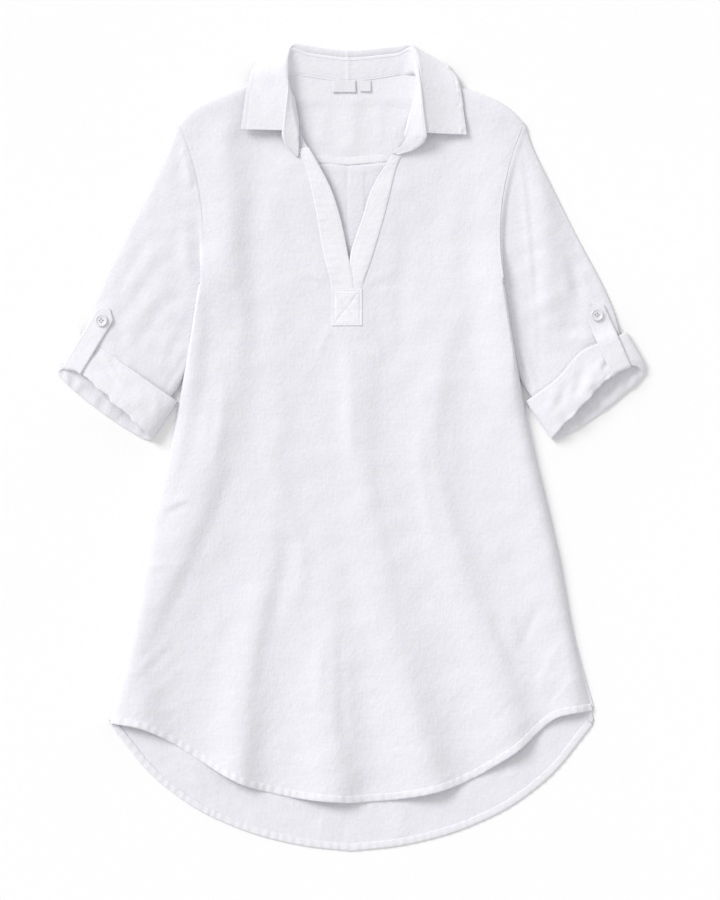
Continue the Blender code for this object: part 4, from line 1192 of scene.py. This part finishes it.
cuffs = {}
for hand, sign in (("left", -1), ("right", 1)):
    rings = flattened_rings(CUFF_ROWS, CUFF_SPANS, CUFF_STEP, CUFF_AROUND)
    at, angle, (outer, inner, height, back, out) = rings
    outer[:, 0] -= LEFT_NARROWER * ease(2, 0, at) if sign < 0 else 0
    height = height + (1.6 * ease(1, 0, at) - 0.8 * ease(1, 2, at) if sign > 0 else 0)
    lean, lip, swell = CUFF_SHAPES[hand]
    swing = np.sin(angle)[None, :]
    upper = np.maximum(swing, 0)

    def wall(inset, depth, outer=outer, inner=inner, height=height, back=back, out=out, at=at):
        """Points round the cuff, with its wall drawn in by inset, and moved up into the sleeve."""
        way = inner - outer
        unit = way / np.linalg.norm(way, axis=1)[:, None]
        start, end = outer + unit * inset, inner - unit * inset
        x, y, place = ring_plan(start, end, angle)
        upper_lip = back[:, None] * (lip[0] + lip[1] * (1 - place) ** lip[2])
        swollen = swell * ease(1.6, 0, at)[:, None] * np.exp(-(((place - 0.36) / 0.24) ** 2))
        upper_lip = upper_lip + swollen
        moved = np.where(swing > 0, upper_lip, out[:, None]) * swing + depth
        x, y = x - MOUTH_WAY[0] * moved, y - MOUTH_WAY[1] * moved
        tall = height[:, None] * (1 + lean * (place - 0.5))
        high = CUFF_RIM + (tall - CUFF_RIM) * upper**0.6 - inset * np.minimum(upper * 4, 1)
        low = CUFF_RIM * (1 - np.minimum(-swing, 1)) ** 3 + inset * np.minimum(-swing * 4, 1)
        return np.stack([x, y, np.where(swing >= 0, high, low)], axis=2)

    # the outside down to the mouth, the rounded lip, and the inside back up into the sleeve
    outside = wall(0.0, 0.0)
    lip_rings = []
    last = [field[-1:] for field in (outer, inner, height, back, out, at)]
    for turn in np.linspace(0, math.pi, LIP_STEPS + 1)[1:]:
        inset = LIP_RADIUS * (1 - math.cos(turn))
        lip_rings.append(wall(inset, -LIP_BEYOND * math.sin(turn), *last)[0])
    inward = []
    for share in np.linspace(0, 1, INSIDE_ROWS + 1)[1:]:
        row = len(at) - 1 - int(round(share * (len(at) - 1)))
        fields = [field[row : row + 1] for field in (outer, inner, height, back, out, at)]
        inward.append(wall(2 * LIP_RADIUS + INSIDE_TAPER * share, 0.0, *fields)[0])
    points = np.concatenate([outside, np.stack(lip_rings), np.stack(inward)])
    lip_place = len(at) + LIP_STEPS // 2
    rows = np.arange(len(points))
    near_lip = bell(rows - lip_place, 4.0)[:, None]
    wobble = ripple(points[..., 0], points[..., 1], 17, 0.9, 80 + sign) * near_lip * upper
    puffs = creases(sign * points[..., 0], points[..., 1], CUFF_CREASES[hand])
    puffs = puffs + ripple(points[..., 0], points[..., 1], 24, 0.22, 82 + sign)
    inside = ripple(points[..., 0], points[..., 1], 19, 0.35, 84)
    inside = inside + creases(sign * points[..., 0], points[..., 1], MOUTH_CREASES[hand])
    inside = inside * (rows > lip_place)[:, None]
    outer_side = (rows <= lip_place)[:, None]
    points[..., 2] += np.minimum(upper * 1.6, 1) * (puffs * outer_side + wobble)
    points[..., 2] += inside * np.minimum(np.maximum(-swing, 0) * 2, 1)
    points[..., 0] += wobble * MOUTH_WAY[0] * 1.2
    points[..., 1] += wobble * MOUTH_WAY[1] * 1.2
    points[..., 2] = np.maximum(points[..., 2], 0.05)
    points[..., 0] *= sign
    cut = np.stack([lengths(points, 1), lengths(points, 0)], axis=2)
    cuff = cloth(
        "cuff_cloth_" + hand, points, double_linen, CUFF_CLOTH, cut=cut, closed=True, offset=0.0
    )
    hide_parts("cuff_" + hand)
    cuff_tree = ray_tree(cuff)
    rim_line = outside[2][:, :2] * (sign, 1)
    seen = slice(6, len(angle) // 2 - 5)
    sewing = stitches("cuff_stitches_" + hand, [drop_on(cuff_tree, rim_line[seen])], seed=90 + sign)
    cuffs[hand] = cuff

# ---- Tabs ----
# A pointed strap of doubled linen on each sleeve. It comes out of the mouth, hooks round the
# fold of the cuff and is buttoned on the outside of the sleeve.

TABS = (("left", (-290.3, 166.2), (-335.5, 91), 24), ("right", (287, 174), (324.5, 87), 26))
TAB_POINT = 10
TAB_CLOTH = 1.5
TAB_REACH = 140
TAB_STEP = 0.25
TAB_ROWS = 46
TAB_COLUMNS = 13
CUFF_LEVEL = 6.5  # above this height the tab still lies on the cuff
TAB_SMOOTHING = 14
# how far beyond the fold of the cuff, and how far down from it, the tab's hooked end goes
TAB_HOOK = ((0.9, 0.5), (1.6, 1.5), (1.9, 3.0), (1.7, 4.6), (1.2, 6.2), (-0.4, 7.6), (-3.0, 8.4))
tab_trees = {}
for hand, tip, foot, width in TABS:
    below = ray_tree(sleeves[hand], cuffs[hand])
    tip, foot = np.array(tip), np.array(foot)
    along = (foot - tip) / np.linalg.norm(foot - tip)
    side = np.array((-along[1], along[0]))
    across = np.linspace(-1, 1, TAB_COLUMNS)

    def tab_place(distance, offset, tip=tip, along=along, side=side, width=width):
        share = min(distance / TAB_POINT, 1) * 0.9 + 0.1
        return tip + along * distance + side * offset * width / 2 * share

    def tab_height(distance, offset):
        return height_at(below, *tab_place(distance, offset)) or 0

    # each lengthwise line of the tab runs over sleeve and cuff as far as the cuff's mouth
    lips = []
    for offset in across:
        lip = np.linalg.norm(foot - tip) * 0.7
        while tab_height(lip, offset) > CUFF_LEVEL and lip < TAB_REACH:
            lip += TAB_STEP
        lips.append(lip)
    lips = np.convolve(np.pad(lips, 2, mode="edge"), np.ones(5) / 5, mode="valid")
    rows = []
    for share in np.linspace(0, 1, TAB_ROWS):
        row = []
        for offset, lip in zip(across, lips):
            near = [tab_height(np.clip(share * lip + d, 0, lip - 1), offset) for d in (-8, -4, 0, 4, 8)]
            row.append((*tab_place(share * lip, offset), max(near) + 1.0))
        rows.append(row)
    rows = np.array(rows)
    for _ in range(TAB_SMOOTHING):
        rows[1:-1, :, 2] = (rows[:-2, :, 2] + 2 * rows[1:-1, :, 2] + rows[2:, :, 2]) / 4
        rows[:, 1:-1, 2] = (rows[:, :-2, 2] + 2 * rows[:, 1:-1, 2] + rows[:, 2:, 2]) / 4
    hook = []
    for beyond, drop in TAB_HOOK:
        ends = zip(across, lips, rows[-1][:, 2])
        hook.append([(*tab_place(lip + beyond, offset), z - drop) for offset, lip, z in ends])
    rows = np.concatenate([rows, np.array(hook)])
    cut = np.stack([lengths(rows, 1), lengths(rows, 0)], axis=2)
    tab = cloth("tab_cloth_" + hand, rows, double_linen, TAB_CLOTH, cut=cut, offset=0.0)
    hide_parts("tab_" + hand)
    tab_trees[hand] = ray_tree(tab)
    run = [TAB_POINT * 0.55] + list(np.linspace(TAB_POINT + 1, np.linalg.norm(foot - tip) - 2, 20))
    lines = [
        [tab_place(distance, offset * (1 - 5.2 / width)) for distance in run] for offset in (-1, 1)
    ]
    lines.append([tab_place(run[0], -0.8), tab_place(run[0] - 1.5, 0), tab_place(run[0], 0.8)])
    lines = [drop_on(tab_trees[hand], line) for line in lines]
    sewing = stitches("tab_stitches_" + hand, lines, pitch=2.8)

# ---- Buttons ----
# A small white shirt button on each tab, pressed from casein with a raised rim and four holes,
# sewn on through the tab with two bars of thread.

BUTTON_RADIUS = 7.3
BUTTON_FROM_TIP = 17.5
# radius and height of the button's profile, from the rim's inner foot round to the under side
BUTTON_PROFILE = (
    (4.7, 0.35), (5.2, 0.55), (5.7, 1.05), (6.3, 1.3), (6.9, 1.15), (7.25, 0.6),
    (7.3, 0.1), (7.1, -0.6), (6.4, -1.1), (4.7, -1.3),
)
BUTTON_SEAT = 0.75
BUTTON_CLEAR = 1.75
BUTTON_STEPS = 48
HOLE_STEPS = 14
HOLE_RADIUS = 0.95
HOLE_OUT = 1.95
BAR_ARC = ((-1.5, -0.2), (-0.9, 0.62), (0.9, 0.62), (1.5, -0.2))

casein = Finish(
    "button_casein", Roughness=0.32, Specular_IOR_Level=0.5, Coat_Weight=0.2, Coat_Roughness=0.2
)
casein_place = casein.node("ShaderNodeTexCoord", {}, {}, output=OBJECT_PLACE)
casein_cloud = casein.node(
    "ShaderNodeTexNoise", {}, {"Vector": casein_place, "Scale": 340.0, "Detail": 3.0}
)
button_finish = casein.feed(
    Base_Color=casein.between(casein_cloud, (0.70, 0.70, 0.735), (0.80, 0.80, 0.83)),
    Roughness=casein_cloud * 0.2 + 0.25,
)


def make_button():
    """The button at its own centre, in millimetres: a spun rim, and faces pierced by holes."""
    bm = bmesh.new()
    verts = [bm.verts.new((radius, 0, z)) for radius, z in BUTTON_PROFILE]
    edges = [bm.edges.new(pair) for pair in zip(verts, verts[1:])]
    bmesh.ops.spin(
        bm, geom=verts + edges, cent=(0, 0, 0), axis=(0, 0, 1), angle=2 * math.pi,
        steps=BUTTON_STEPS, use_merge=True,
    )
    inner = (BUTTON_PROFILE[0][1], BUTTON_PROFILE[-1][1])
    rims = [edge for edge in bm.edges if edge.is_boundary]
    rings = [[edge for edge in rims if abs(edge.verts[0].co.z - z) < 0.01] for z in inner]
    for k in range(4):
        angle = math.radians(45 + 90 * k)
        place = (HOLE_OUT * math.cos(angle), HOLE_OUT * math.sin(angle), inner[0])
        matrix = Matrix.Translation(place)
        made = bmesh.ops.create_circle(bm, segments=HOLE_STEPS, radius=HOLE_RADIUS, matrix=matrix)
        top = list({edge for vert in made["verts"] for edge in vert.link_edges})
        drawn = bmesh.ops.extrude_edge_only(bm, edges=top)["geom"]
        moved = [g for g in drawn if isinstance(g, bmesh.types.BMVert)]
        bmesh.ops.translate(bm, verts=moved, vec=(0, 0, inner[1] - inner[0]))
        rings[0] += top
        rings[1] += [g for g in drawn if isinstance(g, bmesh.types.BMEdge) and g.is_boundary]
    for ring in rings:
        bmesh.ops.triangle_fill(bm, use_beauty=True, edges=ring)
    bmesh.ops.recalc_face_normals(bm, faces=bm.faces)
    return bm


for hand, tip, foot, width in TABS:
    tip, foot = Vector(tip), Vector(foot)
    along = (foot - tip).normalized()
    side = Vector((-along.y, along.x))
    centre = tip + along * BUTTON_FROM_TIP

    def seat(offset, centre=centre, tree=tab_trees[hand]):
        spot = centre + offset
        return Vector((*spot, height_at(tree, *spot)))

    reach = BUTTON_RADIUS * BUTTON_SEAT
    slope = (seat(along * reach) - seat(-along * reach)).cross(seat(side * reach) - seat(-side * reach))
    normal = slope.normalized() if slope.z > 0 else -slope.normalized()
    rest = seat(Vector((0, 0)))
    raised = max((seat(way * reach) - rest).dot(normal) for way in (along, -along, side, -side))
    place = rest + normal * (max(raised, 0) + BUTTON_CLEAR)
    turn = normal.to_track_quat("Z", "Y").to_matrix().to_4x4()
    matrix = Matrix.Diagonal((MM, MM, MM, 1)) @ Matrix.Translation(place) @ turn
    button_bm = make_button()
    bmesh.ops.transform(button_bm, matrix=matrix, verts=button_bm.verts)
    button_mesh = mesh_from("button_disc_" + hand, button_bm)
    button_mesh.shade_smooth()
    button_mesh.set_sharp_from_angle(angle=math.radians(50))
    button_mesh.materials.append(button_finish)
    button = linked("button_disc_" + hand, button_mesh)
    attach(button, "root")
    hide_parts("button_" + hand)
    bars = []
    for bar_x in (-HOLE_OUT * BUTTON_SEAT, HOLE_OUT * BUTTON_SEAT):
        bars.append([tuple(matrix @ Vector((bar_x, y, z)) / MM) for y, z in BAR_ARC])
    stitches("button_thread_" + hand, bars, pitch=1.0, length=1.6, radius=0.3, seed=95)

# ---- Collar stand ----
# The band that holds up the collar, doubled linen with a firm lining, sewn round the neck. It
# ends in two rounded corners below the collar's points.

# neck seam, top of the roll, outer edge of the leaf, and the roll's radius
COLLAR_ROWS = (
    ((-64, 377, 12.6), (-83.5, 379, 15.2), (-132.6, 380, 12.0), 4),
    ((-69.5, 400, 13.0), (-80.5, 402, 16.3), (-129, 404, 10.6), 4),
    ((-73, 424, 13.0), (-77, 428, 16.5), (-125, 431, 8.0), 4),
    ((-76, 441, 8.6), (-76, 452, 14.5), (-121.5, 446, 5.8), 3.4),
    ((-74, 447.5, 5.8), (-75, 473, 10.0), (-119, 453, 3.4), 2.4),
    ((-66, 446.5, 4.0), (-70, 483, 5.4), (-112, 460, 1.4), 1.6),
    ((-52, 444.5, 2.6), (-56, 482, 3.6), (-88, 443.5, 0.6), 1.4),
    ((-34, 441.5, 2.1), (-37, 479, 3.5), (-50, 426, 0.6), 1.4),
    ((-4, 439, 2.1), (-4, 475.5, 3.5), (-4, 422, 0.6), 1.4),
    ((26, 441.5, 2.1), (30, 478, 3.5), (44, 426, 0.6), 1.4),
    ((52, 445.5, 2.6), (56, 481, 3.6), (88, 443.5, 0.6), 1.4),
    ((66, 447.5, 4.0), (70, 483, 5.4), (111, 458, 1.4), 1.6),
    ((76, 448, 5.8), (77, 473, 10.4), (121.5, 449.5, 4.0), 2.4),
    ((78, 441, 10.0), (80.5, 452, 15.8), (127.5, 440, 6.6), 3.8),
    ((77, 422, 12.6), (84, 430, 18.8), (131.5, 425, 7.4), 5),
    ((72, 399, 12.8), (87, 404, 19.4), (134.5, 401, 7.8), 5.5),
    ((65, 377, 12.4), (91, 375, 19.0), (138, 374, 8.4), 5.5),
)
STAND_LEFT = (
    ((-64, 347.5, 9.2), (-65, 347.4, 9.3)),
    ((-63.2, 353, 10.0), (-71, 354, 10.8)),
    ((-63, 361, 11.4), (-79, 362.5, 12.8)),
    ((-63.2, 370, 12.3), (-82.6, 371, 14.4)),
)
STAND_RIGHT = (
    ((63, 371, 12.0), (89, 368.5, 17.2)),
    ((60, 365, 11.4), (85, 362.5, 15.0)),
    ((55, 358, 10.4), (74, 355.5, 11.8)),
    ((49, 351.5, 9.2), (55, 350, 9.6)),
)


STAND_CLOTH = 1.5
STAND_ROWS = 190
STAND_COLUMNS = 15


def surface_normals(points):
    way = np.cross(np.gradient(points, axis=1), np.gradient(points, axis=0))
    way /= np.maximum(np.linalg.norm(way, axis=2), 1e-9)[..., None]
    return way


def leaf_seam_down(x):
    """How far below the roll the leaf is sewn into the stand: well down it at the back only."""
    return 1.6 + 7.0 * ease(80, 54, np.abs(x))


def back_seam(points):
    """The raised seam down the middle of the collar's back."""
    return 0.5 * bell(points[..., 0] + 4, 1.6)


def stand_pair(seam, roll):
    seam, roll = np.array(seam, float), np.array(roll, float)
    return seam, roll - (roll - seam) / np.linalg.norm(roll - seam) * (leaf_seam_down(roll[0]) - 0.8)


stand_rows = [*STAND_LEFT, *[stand_pair(*row[:2]) for row in COLLAR_ROWS], *STAND_RIGHT]
MIDDLE_BACK = 8  # the row of COLLAR_ROWS at the middle of the back
fine = np.linspace(-0.12, 0.12, 7)
stand_at = np.linspace(0, len(stand_rows) - 1, STAND_ROWS)
stand_at = np.unique(np.concatenate([stand_at, MIDDLE_BACK + len(STAND_LEFT) + fine]))
stand_seam, stand_top = columns_at(stand_rows, stand_at)
at_back = ease(72, 58, np.abs(stand_seam[:, 0])) * ease(434, 441, stand_seam[:, 1])
stand_seam[:, 2] += at_back * (yoke_top(stand_seam[:, 0], stand_seam[:, 1]) - stand_seam[:, 2])
share = np.linspace(0, 1, STAND_COLUMNS)[:, None]
stand_points = stand_seam[:, None] * (1 - share) + stand_top[:, None] * share
stand_points[..., 2] -= 0.95 * at_back[:, None] * np.maximum(1 - share[:, 0] * 2.4, 0) ** 1.5
stand_points[:, -1, 2] -= 1.0
stand_run = lengths(stand_points, 0)
puff = 0.25 * np.sin(np.pi * share[:, 0]) + 0.14 * np.sin(stand_run / 7.0) * np.sin(stand_run / 31.0)
stand_points = stand_points + surface_normals(stand_points) * puff[..., None]
stand_points[..., 2] += back_seam(stand_points)
# beside the neck opening the stand's foot is turned in below the front
inward = (stand_seam - stand_top) * (1, 1, 0)
inward /= np.linalg.norm(inward, axis=1)[:, None]
turned = (ease(372, 398, stand_seam[:, 1]) * (1 - at_back))[:, None]
reach = np.where(stand_seam[:, :1] > 0, 3.0, 4.8)
skirt = [stand_seam + turned * (inward * reach * t - (0, 0, 8.5 * t**1.4)) for t in (1.0, 0.66, 0.33)]
stand_points = np.concatenate([np.stack(skirt, axis=1), stand_points], axis=1)
stand_points[..., 2] = np.maximum(stand_points[..., 2], np.where(stand_points[..., 1] > 440, 1.6, 0.8))
stand_run = lengths(stand_points, 0)
even_run = np.broadcast_to((stand_run[:, 3:4] + stand_run[:, -1:]) / 2, stand_run.shape)
stand_cut = np.stack([lengths(stand_points, 1), even_run], axis=2)
stand = cloth("stand_cloth", stand_points, double_linen, STAND_CLOTH, cut=stand_cut, offset=0.0)
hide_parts("collar_stand")


STAND_FACE = 0.9


def beside(points, column, outward):
    """A column of a grid of points, moved out to lie on the face of the cloth that shows."""
    normals = surface_normals(points)
    normals = normals * np.where(normals[..., 2:] < 0, -1, 1)
    return (points + normals * outward)[:, column]


stand_lines = [beside(stand_points, column, STAND_FACE)[8:-8] for column in (4, 15)]
stand_tree = ray_tree(stand)
for x, y in ((-73.6, 370.6), (77.4, 369.6)):
    stand_lines.append(drop_on(stand_tree, [(x - 0.5, y + 2.6), (x, y), (x + 0.5, y - 2.6)]))
stand_sewing = stitches("stand_stitches", stand_lines, seed=101)

# ---- Collar leaf ----
# The turned-down collar, doubled and lined linen, rolled over the stand. Its free edges are
# topstitched 5 mm in, which leaves a fuller rim round them.

LEAF_CLOTH = 1.2
LEAF_FACE = 0.62
LEAF_ROWS = 120
ROLL_COLUMNS = 9
LEAF_ENDS = (0, 0.03, 0.08, 0.15, 0.21, 0.26, 0.34, 0.45, 0.6, 0.8)
leaf_last = len(COLLAR_ROWS) - 1
between = np.unique(np.concatenate([np.linspace(1, leaf_last - 1, LEAF_ROWS), MIDDLE_BACK + fine]))
leaf_at = np.concatenate([LEAF_ENDS, between, leaf_last - np.array(LEAF_ENDS)[::-1]])
leaf_seam, leaf_roll, leaf_edge, radius = columns_at(COLLAR_ROWS, leaf_at)
along = np.gradient(leaf_roll, axis=0)
up = leaf_roll - leaf_seam
up /= np.linalg.norm(up, axis=1)[:, None]
across = np.cross(up, along)
across /= np.linalg.norm(across, axis=1)[:, None]
away = leaf_edge - leaf_roll
turn = np.arctan2((away * across).sum(1), (away * up).sum(1))
centre = leaf_roll + (across - up) * radius[:, None]
seam_down = np.maximum(leaf_seam_down(leaf_roll[:, 0]), radius + 1.2)[:, None]
# from the seam up the stand, round the roll and down to the free edge
columns = [leaf_roll - up * seam_down - (0, 0, 1.0), leaf_roll - up * (seam_down - 1.1)]
for share in np.linspace(0, 1, ROLL_COLUMNS):
    angle = (turn * share)[:, None]
    columns.append(centre + (up * np.sin(angle) - across * np.cos(angle)) * radius[:, None])
start = columns[-1]
width = np.linalg.norm(leaf_edge - start, axis=1)
rim_columns = np.array([8.5, 6.8, 5.9, 5.2, 4.5, 3.4, 2.0, 1.0, 0.35, 0])
for share in np.linspace(0, 0.8, 12)[1:]:
    columns.append(start + (leaf_edge - start) * share)
for distance in rim_columns:
    share = 1 - distance / np.maximum(width, 30)
    columns.append(start + (leaf_edge - start) * share[:, None])
leaf_points = np.stack(columns, axis=1)
leaf_across, leaf_run = lengths(leaf_points, 1), lengths(leaf_points, 0)
to_edge = leaf_across[:, -1:] - leaf_across
to_end = np.minimum(leaf_run, leaf_run[-1:] - leaf_run)
rim = np.minimum(to_edge, to_end)
to_right = ease(-30, 30, leaf_points[..., 0])
# the fuller rim outside the topstitching, and the puckers beside it
full = 0.22 * (0.3 + 0.7 * to_right) * ease(5.4, 3.2, rim) * ease(0, 1.2, rim)
full = full - 0.16 * bell(rim - 5.4, 0.8)
soft = ripple(leaf_points[..., 0], leaf_points[..., 1], 26, 0.16, 110)
pucker = ripple(leaf_points[..., 0], leaf_points[..., 1], 8, 0.16, 112)
full = full + pucker * (1 + 1.2 * to_right) * bell(rim - 3.4, 2.6)
sag = np.where(leaf_roll[:, 0] > 0, 2.6, 0.6) * ease(58, 84, np.abs(leaf_roll[:, 0]))
down_leaf = np.clip(leaf_across / leaf_across[:, -1:], 0, 1)
leaf_points[..., 2] -= sag[:, None] * np.sin(np.pi * down_leaf) ** 1.5
normals = surface_normals(leaf_points)
outside_face = np.where(normals[..., 2:] < 0, -1, 1)
full = full + soft * ease(0, 30, leaf_across) + back_seam(leaf_points)
leaf_points = leaf_points + normals * outside_face * full[..., None]
mean_run = (leaf_run[:, 11:12] + leaf_run[:, -1:]) / 2
leaf_cut = np.stack([np.broadcast_to(mean_run, leaf_run.shape), leaf_across], axis=2)
leaf = cloth("leaf_cloth", leaf_points, double_linen, LEAF_CLOTH, cut=leaf_cut, offset=0.0)
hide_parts("collar_leaf")
edge_column = leaf_points.shape[1] - 7
leaf_face = beside(leaf_points, slice(None), LEAF_FACE)
leaf_lines = [leaf_face[4:-4, edge_column]]
leaf_lines += [leaf_face[row, 12:edge_column] for row in (4, -5)]
seam_line = beside(stand_points, 15, STAND_FACE)[60:-60]
leaf_sewing = stitches("leaf_stitches", [*leaf_lines, seam_line], seed=111)
